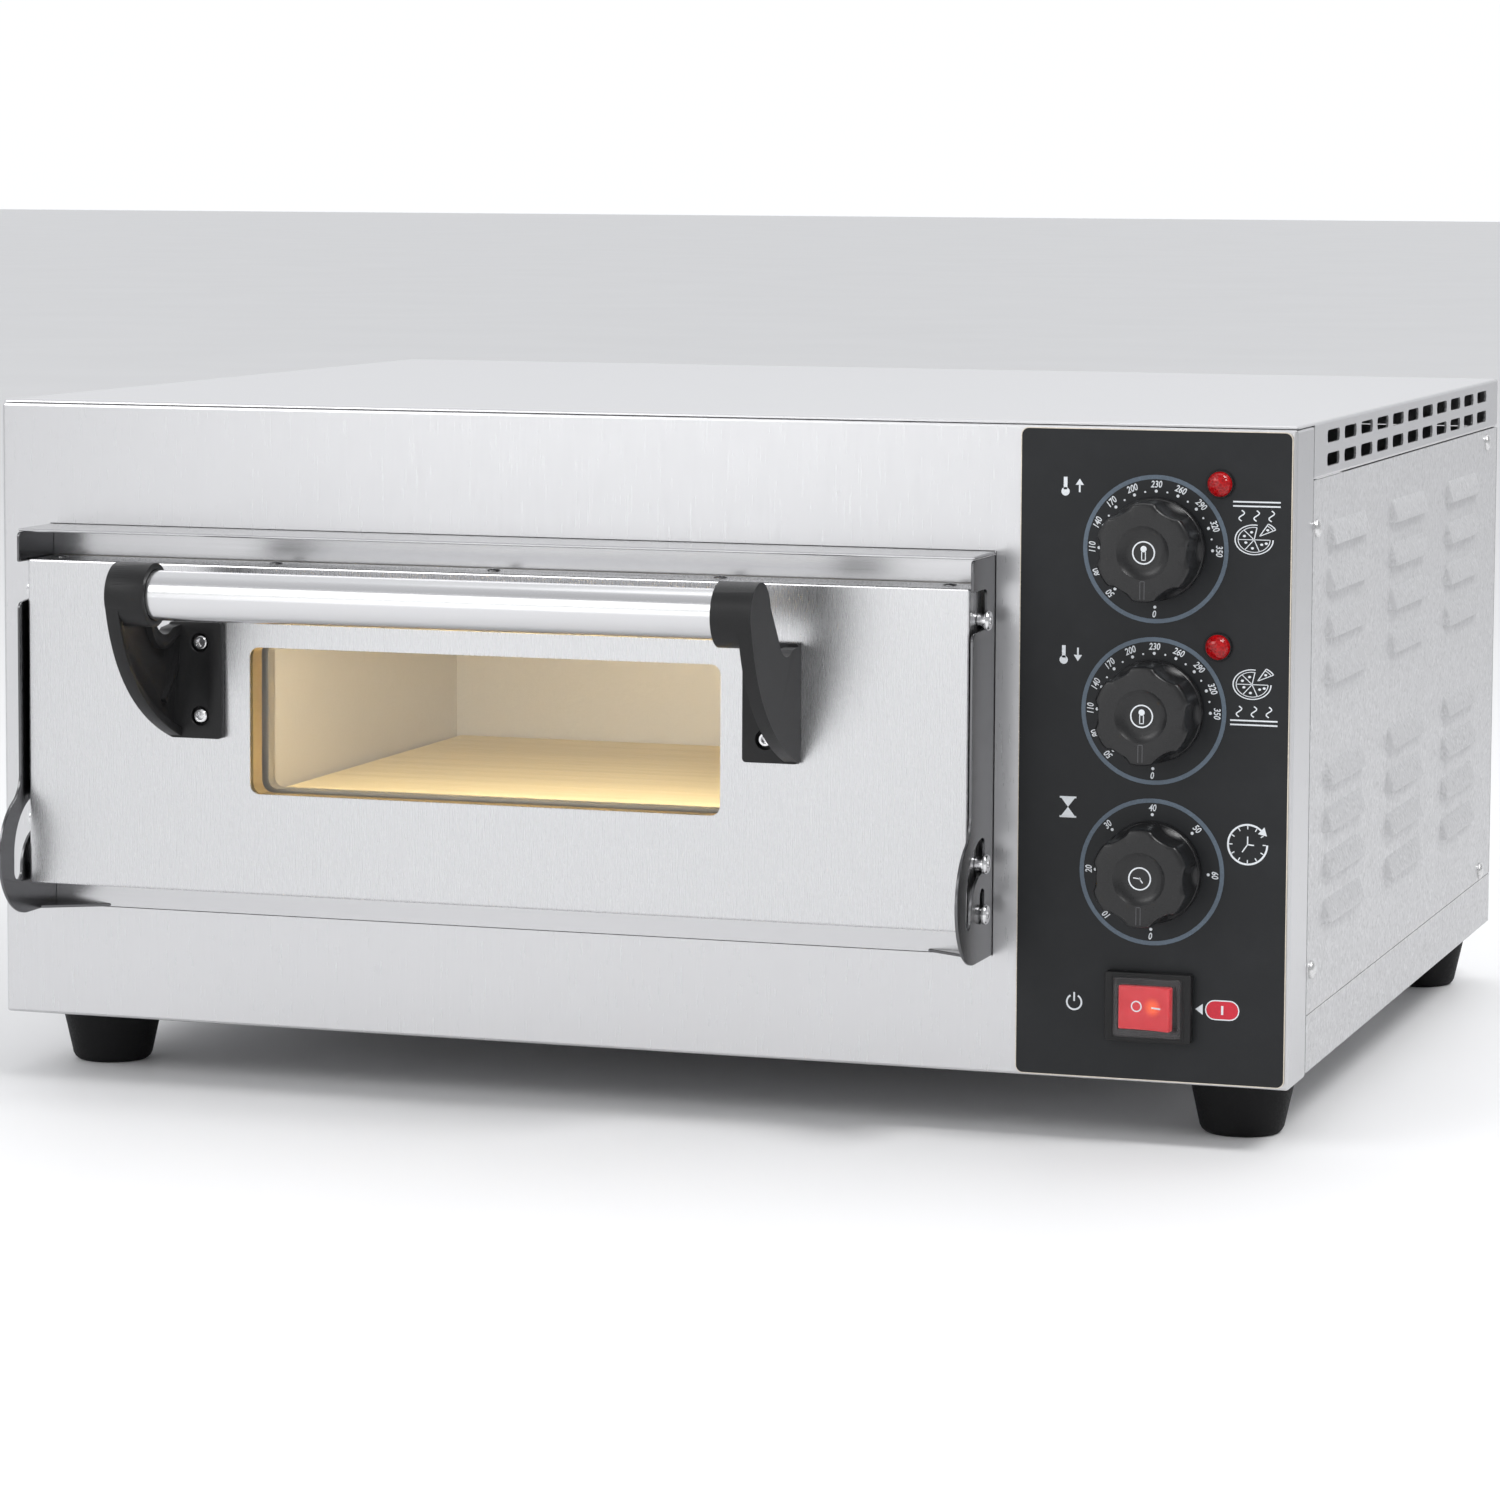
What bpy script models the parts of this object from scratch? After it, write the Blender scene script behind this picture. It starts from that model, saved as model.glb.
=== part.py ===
"""Countertop pizza oven: one chamber, a drop-down glazed door and a control column on its right.

Metres, +Z up, front towards -Y. The origin is on the table under the middle of the whole object.
"""

import math

import bmesh
import bpy
from mathutils import Matrix, Vector

# ---------------------------------------------------------------- driving dimensions

GAP = 0.0003  # between pieces that touch
SHEET = 0.0012  # cabinet sheet metal
THIN = 0.001  # covers, liner and door sheet metal

BODY_WIDTH = 0.560
BODY_DEPTH = 0.468
BODY_HEIGHT = 0.2633
FOOT_HEIGHT = 0.026
RETURN_DEPTH = 0.0327  # the front panel's folded edge
LOWER_RETURN = 0.020  # its narrower fold underneath

FOOT_TOP_RADIUS = 0.0225
FOOT_BASE_RADIUS = 0.0163
FOOT_SIDE_INSET = 0.0284
FOOT_FRONT_INSET = 0.046
FOOT_REAR_INSET = 0.029

COVER_FLANGE = 0.0228  # height of the top cover's side flange
TRAY_FLANGE = 0.0232
TRAY_LIFT = 0.0015

VENT_PITCH = 0.0352
VENT_LENGTH = 0.025
VENT_HEIGHT = 0.0052
VENT_CORNER = 0.0018
VENT_FIRST = 0.071  # first hole's middle behind the front face
VENT_END = 0.0325  # least distance from the last one to the back
VENT_DROP = 0.0068  # upper row's middle below the top
VENT_ROW_GAP = 0.0094

LOUVRE_ROWS = 4
LOUVRE_LENGTH = 0.084
LOUVRE_HEIGHT = 0.010
LOUVRE_OUT = 0.003
LOUVRE_PITCH_Y = 0.1345
LOUVRE_PITCH_Z = 0.0188
LOUVRE_FIRST = 0.060  # first louvre's front end behind the front face
LOUVRE_END = 0.030  # least distance from the last one to the back
LOUVRE_DROP = 0.0508  # lower edge of the highest louvre below the top
LOUVRE_GROUP_GAP = 0.0981  # from the upper group's first row to the lower group's

DOOR_INSET = 0.0254  # door's left side from the cabinet's
DOOR_TO_OVERLAY = 0.0131
DOOR_BASE = 0.061
HOOD_GAP = 0.013  # door's top below the hood's
DOOR_FACE = 0.0285  # outer skin in front of the panel
DOOR_BACK = 0.002  # inner face in front of the panel
WINDOW_WIDTH = 0.2055
WINDOW_HEIGHT = 0.0613
WINDOW_DROP = 0.0337  # below the door's top
WINDOW_SHIFT = -0.0012  # off the door's middle
WINDOW_CORNER = 0.004
GLASS = 0.004
GLASS_LAP = 0.008
INNER_WINDOW_DEPTH = 0.0065

CHEEK_GAP = 0.0016
CHEEK_OUT = 0.033
HOOD_OUT = 0.032
FRAME_BASE = 0.048
FRAME_DROP = 0.0523  # frame's top below the cabinet's
EAR_RADIUS = 0.026
EAR_OUT = 0.027  # ear's middle in front of the panel
BLEND_RADIUS = 0.0129
HOOK_ROUND = 0.002
LIP_ROUND = 0.003
TAB_LENGTH = 0.0255
TAB_OUT = 0.015

STUD_RADIUS = 0.0031
STUD_HEAD_RADIUS = 0.0041
STUD_HEAD = 0.0019
HEAD_PLAY = 0.0005  # between a hinge plate and a stud's head
STUD_OUT = 0.016  # studs in front of the panel
HINGE_Z = 0.0668
GUIDE_Z = 0.0871
LATCH_DROP = 0.0134  # below the door's top
STUD_LIFT = 0.0068  # free height above each stud
SLOT_CLEAR = 0.0005
HOOK_RISE = 0.0124  # hook's underside above the latch stud

TUBE_RADIUS = 0.0102
TUBE_WALL = 0.0015
TUBE_OUT = 0.082
TUBE_DROP = 0.0083  # below the door's top
BARREL_WALL = 0.0028
BARREL_LENGTH = 0.0167
BARREL_END = 0.004
HANDLE_SPAN = 0.2742  # between the brackets' outer faces
HANDLE_SHIFT = -0.0016  # handle's middle from the door's
BRACKET_WEB = 0.0055
BRACKET_POCKET = 0.003
BRACKET_RIM = 0.003
BRACKET_PULL = 0.006  # the curve's pull behind the barrel's front
BRACKET_BELLY = 0.0165  # the pull above the foot's base
THROAT_RADIUS = 0.0118
THROAT_OUT = 0.0185  # throat's middle in front of the door
THROAT_RISE = 0.0078  # above the foot's top
BRACKET_FOOT_WIDTH = 0.0235
BRACKET_FOOT = 0.0035
BRACKET_FOOT_DROP = 0.0154  # foot's top below the tube's middle
BRACKET_FOOT_HEIGHT = 0.0485
BRACKET_SCREW_RISE = 0.0094  # above the foot's base
BRACKET_SCREW_DROP = 0.0085  # below its top
BRACKET_SCREW_INSET = 0.0096
BRACKET_SCREW_RADIUS = 0.0029
BRACKET_SCREW_HEAD = 0.003

CHAMBER_MARGIN = 0.017  # chamber's side inside the door's
CHAMBER_REAR_GAP = 0.043
CHAMBER_BASE = 0.044
CHAMBER_DROP = 0.021  # chamber's top below the frame's
MOUTH_BASE = 0.070
MOUTH_DROP = 0.002
STONE_TOP = 0.076
STONE_THICK = 0.015
STONE_CLEAR = 0.003
RAIL_WIDTH = 0.014
RAIL_THICK = 0.0015
BLANKET = 0.018
PARTITION_GAP = 0.0043  # beyond the blanket

ELEMENT_RADIUS = 0.004
ELEMENT_CLEAR = 0.0005
UPPER_ELEMENT_DROP = 0.009
LOWER_ELEMENT_Z = 0.052
ELEMENT_RUNS = 4
ELEMENT_REAR_GAP = 0.040
ELEMENT_FRONT = 0.060
ELEMENT_SIDE_GAP = 0.035
ELEMENT_TAIL = 0.013  # beyond the partition
ELEMENT_TAIL_GAP = 0.014  # between an element's two ends

BULB_RADIUS = 0.003
CAPILLARY_RADIUS = 0.001
BULB_LENGTH = 0.075
UPPER_BULB_Y = 0.120
UPPER_BULB_DROP = 0.013  # below the upper element
LOWER_BULB_LEAD = 0.014  # in front of the lower element

CONTROL_COLUMN = 0.1115  # overlay's left edge from the cabinet's right side
OVERLAY_MARGIN = 0.001
OVERLAY_THICK = 0.0005
OVERLAY_CORNER = 0.003

DIAL_INSET = 0.0563  # dials' middle from the cabinet's right side
DIAL_DROP = 0.0495
DIAL_PITCH = 0.0644
KNOB_RADIUS = 0.0205
KNOB_TAPER = 0.0005
KNOB_DEPTH = 0.021
KNOB_FLOAT = 0.0012  # behind the knob, clear of the overlay
KNOB_FLUTES = 6
FLUTE_RADIUS = 0.009
FLUTE_DEPTH = 0.0018
KNOB_DISH_RADIUS = 0.0108
KNOB_DISH = 0.0014
POINTER_WIDTH = 0.0014
POINTER_DEPTH = 0.0005
SHAFT_RADIUS = 0.003
SHAFT_REACH = 0.013  # into the knob
SHAFT_CLEAR = 0.0003
BUSH_WALL = 0.0014
REGULATOR_SIDE = 0.036
REGULATOR_DEPTH = 0.032
REGULATOR_SETBACK = 0.006
TIMER_RADIUS = 0.024
TIMER_DEPTH = 0.042

LAMP_SIDE = 0.0259
LAMP_RISE = 0.0264
LAMP_RADIUS = 0.0056
LAMP_LIP = 0.0008
LAMP_OUT = 0.0045
LAMP_DEPTH = 0.022

SWITCH_Z = 0.031
BEZEL_SIDE = 0.0026
BEZEL_LIP = 0.0025
BEZEL_OUT = 0.0055
SWITCH_WALL = 0.0028
SWITCH_DEPTH = 0.024
SWITCH_END_WALL = 0.00245
ROCKER_WIDTH = 0.0216
ROCKER_HEIGHT = 0.0175
ROCKER_PIVOT_OUT = 0.0015
ROCKER_FRONT = 0.0065
ROCKER_BACK = 0.003
ROCKER_TILT = math.radians(-9)  # at rest its left, off, end is pressed in
ROCKER_CLEAR = 0.0014
COVER_MARGIN = 0.0017  # beyond the rocker's well
COVER_END_MARGIN = 0.0031
COVER_OUT = 0.0122
COVER_WALL = 0.0009

GLAND_RADIUS = 0.011
GLAND_BORE = 0.0045
GLAND_OUT = 0.010
GLAND_INSET = 0.065
GLAND_Z = 0.060

REAR_SLOT_LENGTH = 0.036
REAR_SLOT_HEIGHT = 0.004
REAR_SLOT_INSET = 0.092
REAR_SLOT_DROP = 0.0483
REAR_SLOT_PITCH_X = 0.048
REAR_SLOT_PITCH_Z = 0.011
REAR_SLOT_ROWS = 6

TERMINAL_WIDTH = 0.046
TERMINAL_DEPTH = 0.022
TERMINAL_HEIGHT = 0.020
TERMINAL_INSET = 0.084
TERMINAL_REAR_GAP = 0.038
TERMINAL_PITCH = 0.014
TERMINAL_BORE = 0.0028
TERMINAL_WELL = 0.006

# ---------------------------------------------------------------- places worked out from them

BARREL_RADIUS = TUBE_RADIUS + BARREL_WALL
HANDLE_OUT = TUBE_OUT + BARREL_RADIUS
FRONT = (HANDLE_OUT - BODY_DEPTH - GLAND_OUT) / 2  # world Y of the front panel's face
BACK = FRONT + BODY_DEPTH
HALF = BODY_WIDTH / 2
OVERLAY_LEFT = HALF - CONTROL_COLUMN
DIAL_X = HALF - DIAL_INSET
DIAL_TOP_Z = BODY_HEIGHT - DIAL_DROP
LAMP_X = DIAL_X + LAMP_SIDE
GLAND_X = HALF - GLAND_INSET
KNOB_FRONT_RADIUS = KNOB_RADIUS - KNOB_TAPER
LAMP_STEM = LAMP_RADIUS - LAMP_LIP
BUSH_RADIUS = SHAFT_RADIUS + SHAFT_CLEAR + BUSH_WALL
VENT_COLUMNS = int((BODY_DEPTH - VENT_END - VENT_FIRST) / VENT_PITCH) + 1
LOUVRE_RUN = BODY_DEPTH - LOUVRE_END - LOUVRE_FIRST - LOUVRE_LENGTH
LOUVRE_COLUMNS = int(LOUVRE_RUN / LOUVRE_PITCH_Y) + 1
LOUVRE_TOP = BODY_HEIGHT - LOUVRE_DROP
DOOR_WIDTH = BODY_WIDTH - DOOR_INSET - DOOR_TO_OVERLAY - CONTROL_COLUMN
DOOR_X = DOOR_INSET + DOOR_WIDTH / 2 - HALF  # middle of the door and chamber
FRAME_TOP = BODY_HEIGHT - FRAME_DROP
DOOR_TOP = FRAME_TOP - HOOD_GAP
WINDOW_X = DOOR_X + WINDOW_SHIFT
WINDOW_TOP = DOOR_TOP - WINDOW_DROP
WINDOW_BASE = WINDOW_TOP - WINDOW_HEIGHT
LATCH_Z = DOOR_TOP - LATCH_DROP
HOOK_Z = LATCH_Z + HOOK_RISE
TUBE_Z = DOOR_TOP - TUBE_DROP
HANDLE_X = DOOR_X + HANDLE_SHIFT
BRACKET_FOOT_TOP = TUBE_Z - BRACKET_FOOT_DROP
BRACKET_BASE = BRACKET_FOOT_TOP - BRACKET_FOOT_HEIGHT
BRACKET_SCREW_Z = (BRACKET_BASE + BRACKET_SCREW_RISE, BRACKET_FOOT_TOP - BRACKET_SCREW_DROP)
CHAMBER_WIDTH = DOOR_WIDTH - 2 * CHAMBER_MARGIN
CHAMBER_BACK = BODY_DEPTH - CHAMBER_REAR_GAP
CHAMBER_TOP = FRAME_TOP - CHAMBER_DROP
MOUTH_TOP = CHAMBER_TOP - MOUTH_DROP
PARTITION_X = DOOR_X + CHAMBER_WIDTH / 2 + THIN + GAP + BLANKET + PARTITION_GAP
UPPER_ELEMENT_Z = CHAMBER_TOP - UPPER_ELEMENT_DROP
ELEMENT_BACK = CHAMBER_BACK - ELEMENT_REAR_GAP
ELEMENT_TAIL_X = PARTITION_X + ELEMENT_TAIL
UPPER_BULB = (UPPER_BULB_Y, UPPER_ELEMENT_Z - UPPER_BULB_DROP)
LOWER_BULB = (ELEMENT_FRONT - LOWER_BULB_LEAD, LOWER_ELEMENT_Z)
ROCKER_ROOM = ROCKER_WIDTH + 2 * ROCKER_CLEAR
SWITCH_WIDTH = ROCKER_ROOM + 2 * SWITCH_WALL
SWITCH_HEIGHT = ROCKER_HEIGHT + 2 * GAP + 2 * SWITCH_END_WALL
BEZEL_WIDTH = SWITCH_WIDTH + 2 * BEZEL_SIDE
BEZEL_HEIGHT = SWITCH_HEIGHT + 2 * BEZEL_LIP
COVER_WIDTH = ROCKER_ROOM + 2 * COVER_MARGIN
COVER_HEIGHT = ROCKER_HEIGHT + 2 * GAP + 2 * COVER_END_MARGIN
COVER_UNDER = BODY_HEIGHT - THIN
PANEL_TOP = COVER_UNDER - GAP
FLANGE_BASE = BODY_HEIGHT - COVER_FLANGE
TRAY_TOP = TRAY_LIFT + TRAY_FLANGE
CHEEK_IN = DOOR_WIDTH / 2 + CHEEK_GAP
CHEEK_TOP = FRAME_TOP - SHEET - GAP
SLOT_RADIUS = STUD_RADIUS + SLOT_CLEAR
STUD_SHANK = CHEEK_GAP - GAP + SHEET + HEAD_PLAY  # from the door's side to the head
OVERLAY_FACE = GAP + OVERLAY_THICK


def at(x, y, z):
    """A point y behind the front panel's face and z above the body's base."""
    return Vector((x, FRONT + y, FOOT_HEIGHT + z))


# ---------------------------------------------------------------- scene and materials

for old in list(bpy.data.objects):
    bpy.data.objects.remove(old, do_unlink=True)

parts = bpy.data.collections.new("pizza_oven")
cutters = bpy.data.collections.new("cutters")
bpy.context.scene.collection.children.link(parts)
bpy.context.scene.collection.children.link(cutters)


def material(name, colour, roughness, metallic=0.0, alpha=1.0):
    made = bpy.data.materials.new(name)
    made.use_nodes = True
    shader = made.node_tree.nodes["Principled BSDF"]
    shader.inputs["Base Color"].default_value = (*colour, 1.0)
    shader.inputs["Roughness"].default_value = roughness
    shader.inputs["Metallic"].default_value = metallic
    shader.inputs["Alpha"].default_value = alpha
    return made


STAINLESS = material("stainless", (0.72, 0.72, 0.73), 0.28, 1.0)
GALVANISED = material("galvanised", (0.56, 0.56, 0.57), 0.5, 1.0)
POLISHED = material("polished_steel", (0.62, 0.62, 0.62), 0.12, 1.0)
LINER_STEEL = material("aluminised_steel", (0.55, 0.49, 0.40), 0.4, 0.8)
ALUMINIUM = material("aluminium", (0.80, 0.80, 0.81), 0.3, 1.0)
BLACK_PLASTIC = material("black_plastic", (0.022, 0.022, 0.024), 0.45)
OVERLAY = material("overlay", (0.035, 0.036, 0.040), 0.4)
RUBBER = material("rubber", (0.018, 0.018, 0.019), 0.7)
STONE = material("stone", (0.74, 0.58, 0.36), 0.9)
WOOL = material("ceramic_wool", (0.86, 0.85, 0.80), 0.95)
GLAZING = material("glass", (0.90, 0.86, 0.78), 0.05, 0.0, 0.25)
GASKET = material("gasket", (0.66, 0.48, 0.20), 0.6)
INCOLOY = material("element_sheath", (0.20, 0.19, 0.18), 0.5, 0.9)
CERAMIC = material("ceramic", (0.88, 0.86, 0.80), 0.5)
RED_LENS = material("red_lens", (0.60, 0.01, 0.01), 0.15)
RED_ROCKER = material("red_rocker", (0.75, 0.03, 0.04), 0.25)
CLEAR_VINYL = material("clear_vinyl", (0.90, 0.88, 0.90), 0.1, 0.0, 0.25)
BRASS = material("brass", (0.70, 0.52, 0.25), 0.35, 1.0)


# ---------------------------------------------------------------- modelling helpers


def add(name, mesh, look=None, home=parts):
    made = bpy.data.objects.new(name, mesh)
    home.objects.link(made)
    if look is not None:
        mesh.materials.append(look)
    if home is cutters:
        made.hide_render = True
        made.display_type = "WIRE"
    return made


def mesh_of(name, build):
    """A mesh filled by build(bm)."""
    bm = bmesh.new()
    build(bm)
    bmesh.ops.recalc_face_normals(bm, faces=bm.faces[:])
    mesh = bpy.data.meshes.new(name)
    bm.to_mesh(mesh)
    bm.free()
    return mesh


def box_mesh(name, low, high):
    low, high = Vector(low), Vector(high)
    size = high - low

    def build(bm):
        bmesh.ops.create_cube(bm, size=1.0)
        bmesh.ops.scale(bm, vec=size, verts=bm.verts[:])

    return mesh_of(name, build), (low + high) / 2


def box(name, low, high, look=None, home=parts):
    """A block between two corners given by at()."""
    mesh, middle = box_mesh(name, low, high)
    made = add(name, mesh, look, home)
    made.location = middle
    return made


AXES = {
    "X": Matrix.Rotation(math.radians(90), 4, "Y"),
    "Y": Matrix.Rotation(math.radians(-90), 4, "X"),
    "Z": Matrix.Identity(4),
}


def rod(name, start, length, radius, axis, look=None, home=parts, sides=24, end_radius=None):
    """A cylinder or cone that runs from start along +axis."""

    def build(bm):
        bmesh.ops.create_cone(
            bm,
            cap_ends=True,
            segments=sides,
            radius1=radius,
            radius2=radius if end_radius is None else end_radius,
            depth=length,
        )
        bmesh.ops.translate(bm, vec=(0, 0, length / 2), verts=bm.verts[:])
        bmesh.ops.transform(bm, matrix=AXES[axis], verts=bm.verts[:])

    made = add(name, mesh_of(name, build), look, home)
    made.location = start
    return made


def turned(name, place, profile, look, axis="Z", home=parts, steps=32):
    """A turned piece: profile is (radius, height) from top to bottom on the outer side."""
    mesh = bpy.data.meshes.new(name)
    points = [(r, 0, z) for r, z in profile]
    mesh.from_pydata(points, [(i, i + 1) for i in range(len(points) - 1)], [])
    made = add(name, mesh, look, home)
    made.matrix_world = Matrix.Translation(place) @ AXES[axis]
    screw = made.modifiers.new("turn", "SCREW")
    screw.steps = steps
    screw.render_steps = steps
    screw.use_merge_vertices = True
    screw.merge_threshold = 0.00001
    screw.use_smooth_shade = True
    return made


def prism(name, outline, plane, start, thickness, look=None, home=parts):
    """A flat outline with thickness. plane names the outline's two world axes; start is on the third."""

    def build(bm):
        corners = []
        for a, b in outline:
            point = {"XZ": (a, start, b), "YZ": (start, a, b), "XY": (a, b, start)}[plane]
            corners.append(bm.verts.new(point))
        face = bm.faces.new(corners)
        step = {"XZ": (0, thickness, 0), "YZ": (thickness, 0, 0), "XY": (0, 0, thickness)}[plane]
        grown = bmesh.ops.extrude_face_region(bm, geom=[face])
        moved = [v for v in grown["geom"] if isinstance(v, bmesh.types.BMVert)]
        bmesh.ops.translate(bm, vec=step, verts=moved)

    mesh = mesh_of(name, build)
    mesh.transform(Matrix.Translation(-Vector(mesh.vertices[0].co)))
    made = add(name, mesh, look, home)
    first = outline[0]
    made.location = {
        "XZ": (first[0], start, first[1]),
        "YZ": (start, first[0], first[1]),
        "XY": (first[0], first[1], start),
    }[plane]
    return made


def arc(middle, radius, first, last, count):
    """Points along an arc, angles in degrees."""
    angles = [math.radians(first + (last - first) * i / (count - 1)) for i in range(count)]
    return [(middle[0] + radius * math.cos(t), middle[1] + radius * math.sin(t)) for t in angles]


def rounded(low_a, low_b, high_a, high_b, radius, count=4):
    """A rectangle's outline with rounded corners."""
    inner = (
        ((high_a - radius, high_b - radius), 0),
        ((low_a + radius, high_b - radius), 90),
        ((low_a + radius, low_b + radius), 180),
        ((high_a - radius, low_b + radius), 270),
    )
    points = []
    for middle, first in inner:
        points += arc(middle, radius, first, first + 90, count)
    return points


def boolean(made, other, operation="DIFFERENCE"):
    cut = made.modifiers.new(operation.lower(), "BOOLEAN")
    cut.operation = operation
    cut.object = other
    return made


def cut_all(made, *others):
    for other in others:
        boolean(made, other)
    return made


def join_all(made, *others):
    for other in others:
        boolean(made, other, "UNION")
    return made


def joined_cutter(name, meshes):
    """One cutter made of separate shapes that don't touch, from (mesh, place) pairs."""

    def build(bm):
        for mesh, place in meshes:
            start = len(bm.verts)
            bm.from_mesh(mesh)
            bm.verts.ensure_lookup_table()
            bmesh.ops.translate(bm, vec=place, verts=bm.verts[start:])

    return add(name, mesh_of(name, build), None, cutters)


def bevel(made, width, segments=1, angle=40):
    edge = made.modifiers.new("bevel", "BEVEL")
    edge.width = width
    edge.segments = segments
    edge.limit_method = "ANGLE"
    edge.angle_limit = math.radians(angle)
    return made


def smooth(made, angle=40):
    made.data.shade_smooth()
    made.data.set_sharp_from_angle(angle=math.radians(angle))
    return made


def wire(name, points, radius, look, sides=2, radii=None):
    """A round wire along points, as a closed mesh."""
    curve = bpy.data.curves.new(name, "CURVE")
    curve.dimensions = "3D"
    curve.bevel_depth = radius
    curve.bevel_resolution = sides
    curve.use_fill_caps = True
    spline = curve.splines.new("POLY")
    spline.points.add(len(points) - 1)
    for i, point in enumerate(points):
        spline.points[i].co = (*point, 1)
        spline.points[i].radius = 1 if radii is None else radii[i]
    guide = bpy.data.objects.new(name + "_guide", curve)
    bpy.context.scene.collection.objects.link(guide)
    graph = bpy.context.evaluated_depsgraph_get()
    mesh = bpy.data.meshes.new_from_object(guide.evaluated_get(graph))
    bm = bmesh.new()
    bm.from_mesh(mesh)
    bmesh.ops.remove_doubles(bm, verts=bm.verts[:], dist=0.00001)
    bmesh.ops.recalc_face_normals(bm, faces=bm.faces[:])
    bm.to_mesh(mesh)
    bm.free()
    made = add(name, mesh, look)
    made.matrix_world = guide.matrix_world
    bpy.data.objects.remove(guide, do_unlink=True)
    return smooth(made)


def rod_mesh(radius, length, axis, sides=16):
    def build(bm):
        bmesh.ops.create_cone(
            bm, cap_ends=True, segments=sides, radius1=radius, radius2=radius, depth=length
        )
        bmesh.ops.transform(bm, matrix=AXES[axis], verts=bm.verts[:])

    return mesh_of("rod", build)


# ---------------------------------------------------------------- cabinet


def dial_z(index):
    return DIAL_TOP_Z - index * DIAL_PITCH


def control_holes(name, front, depth):
    """The holes that the knobs' bushes, the lamps and the switch pass through."""
    shapes = []
    for index in range(3):
        shapes.append((rod_mesh(BUSH_RADIUS + GAP, depth, "Y"), at(DIAL_X, front, dial_z(index))))
    for index in range(2):
        hole = rod_mesh(LAMP_STEM + GAP, depth, "Y")
        shapes.append((hole, at(LAMP_X, front, dial_z(index) + LAMP_RISE)))
    wide = SWITCH_WIDTH / 2 + GAP
    tall = SWITCH_HEIGHT / 2 + GAP
    mesh, middle = box_mesh("hole", (-wide, -depth / 2, -tall), (wide, depth / 2, tall))
    shapes.append((mesh, at(DIAL_X, front, SWITCH_Z) + middle))
    return joined_cutter(name, shapes)


def front_panel():
    """The brushed face with its folded edge, opened for the door frame and the controls."""
    panel = box("front_panel", at(-HALF, 0, 0), at(HALF, RETURN_DEPTH, PANEL_TOP), STAINLESS)
    low = at(-HALF + SHEET, SHEET, SHEET)
    high = at(HALF - SHEET, RETURN_DEPTH + SHEET, PANEL_TOP - SHEET)
    inside = box("panel_inside", low, high, None, cutters)
    under = box(
        "panel_underside",
        at(-HALF + SHEET, LOWER_RETURN, -SHEET),
        at(HALF - SHEET, RETURN_DEPTH + SHEET, 2 * SHEET),
        None,
        cutters,
    )
    wide = CHEEK_IN + SHEET + GAP
    opening = box(
        "panel_opening",
        at(DOOR_X - wide, -SHEET, FRAME_BASE - GAP),
        at(DOOR_X + wide, 2 * SHEET, FRAME_TOP + GAP),
        None,
        cutters,
    )
    bevel(panel, 0.0012, 2)
    return cut_all(panel, inside, under, opening, control_holes("panel_holes", 0, 0.02))


def frame_plate():
    """The polished plate round the oven's mouth, flush with the front panel."""
    wide = CHEEK_IN + SHEET
    low = at(DOOR_X - wide, 0, FRAME_BASE)
    plate = box("door_frame_plate", low, at(DOOR_X + wide, SHEET, FRAME_TOP), POLISHED)
    mouth = CHAMBER_WIDTH / 2 - GAP
    hole = box(
        "mouth",
        at(DOOR_X - mouth, -SHEET, MOUTH_BASE),
        at(DOOR_X + mouth, 2 * SHEET, MOUTH_TOP),
        None,
        cutters,
    )
    return cut_all(plate, hole)


def hood():
    """The narrow roof over the door."""
    wide = CHEEK_IN + SHEET
    low = at(DOOR_X - wide, -HOOD_OUT, FRAME_TOP - SHEET)
    made = box("door_hood", low, at(DOOR_X + wide, -GAP, FRAME_TOP), POLISHED)
    return bevel(made, 0.0004)


def guide_slot():
    """The crescent slot: room for the guide stud to rise, then to swing down to the front."""
    y, low, high = FRONT - STUD_OUT, FOOT_HEIGHT + HINGE_Z, FOOT_HEIGHT + GUIDE_Z
    reach = GUIDE_Z - HINGE_Z
    head = arc((y, high + STUD_LIFT), SLOT_RADIUS, 0, 90, 4)
    outer = arc((y, low + STUD_LIFT), reach + SLOT_RADIUS, 90, 180, 12)
    tip = arc((y - reach, low), SLOT_RADIUS, 180, 360, 7)
    inner = arc((y, low), reach - SLOT_RADIUS, 180, 90, 10)
    seat = arc((y, high), SLOT_RADIUS, 270, 360, 4)
    return head + outer[1:] + tip + inner[1:] + seat[1:]


def hinge_slot():
    """The upright slot that the hinge stud turns in and rises in when the door is lifted."""
    y, z = FRONT - STUD_OUT, FOOT_HEIGHT + HINGE_Z
    low = arc((y, z), SLOT_RADIUS, 180, 360, 7)
    high = arc((y, z + STUD_LIFT), SLOT_RADIUS, 0, 180, 7)
    return low + high


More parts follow.
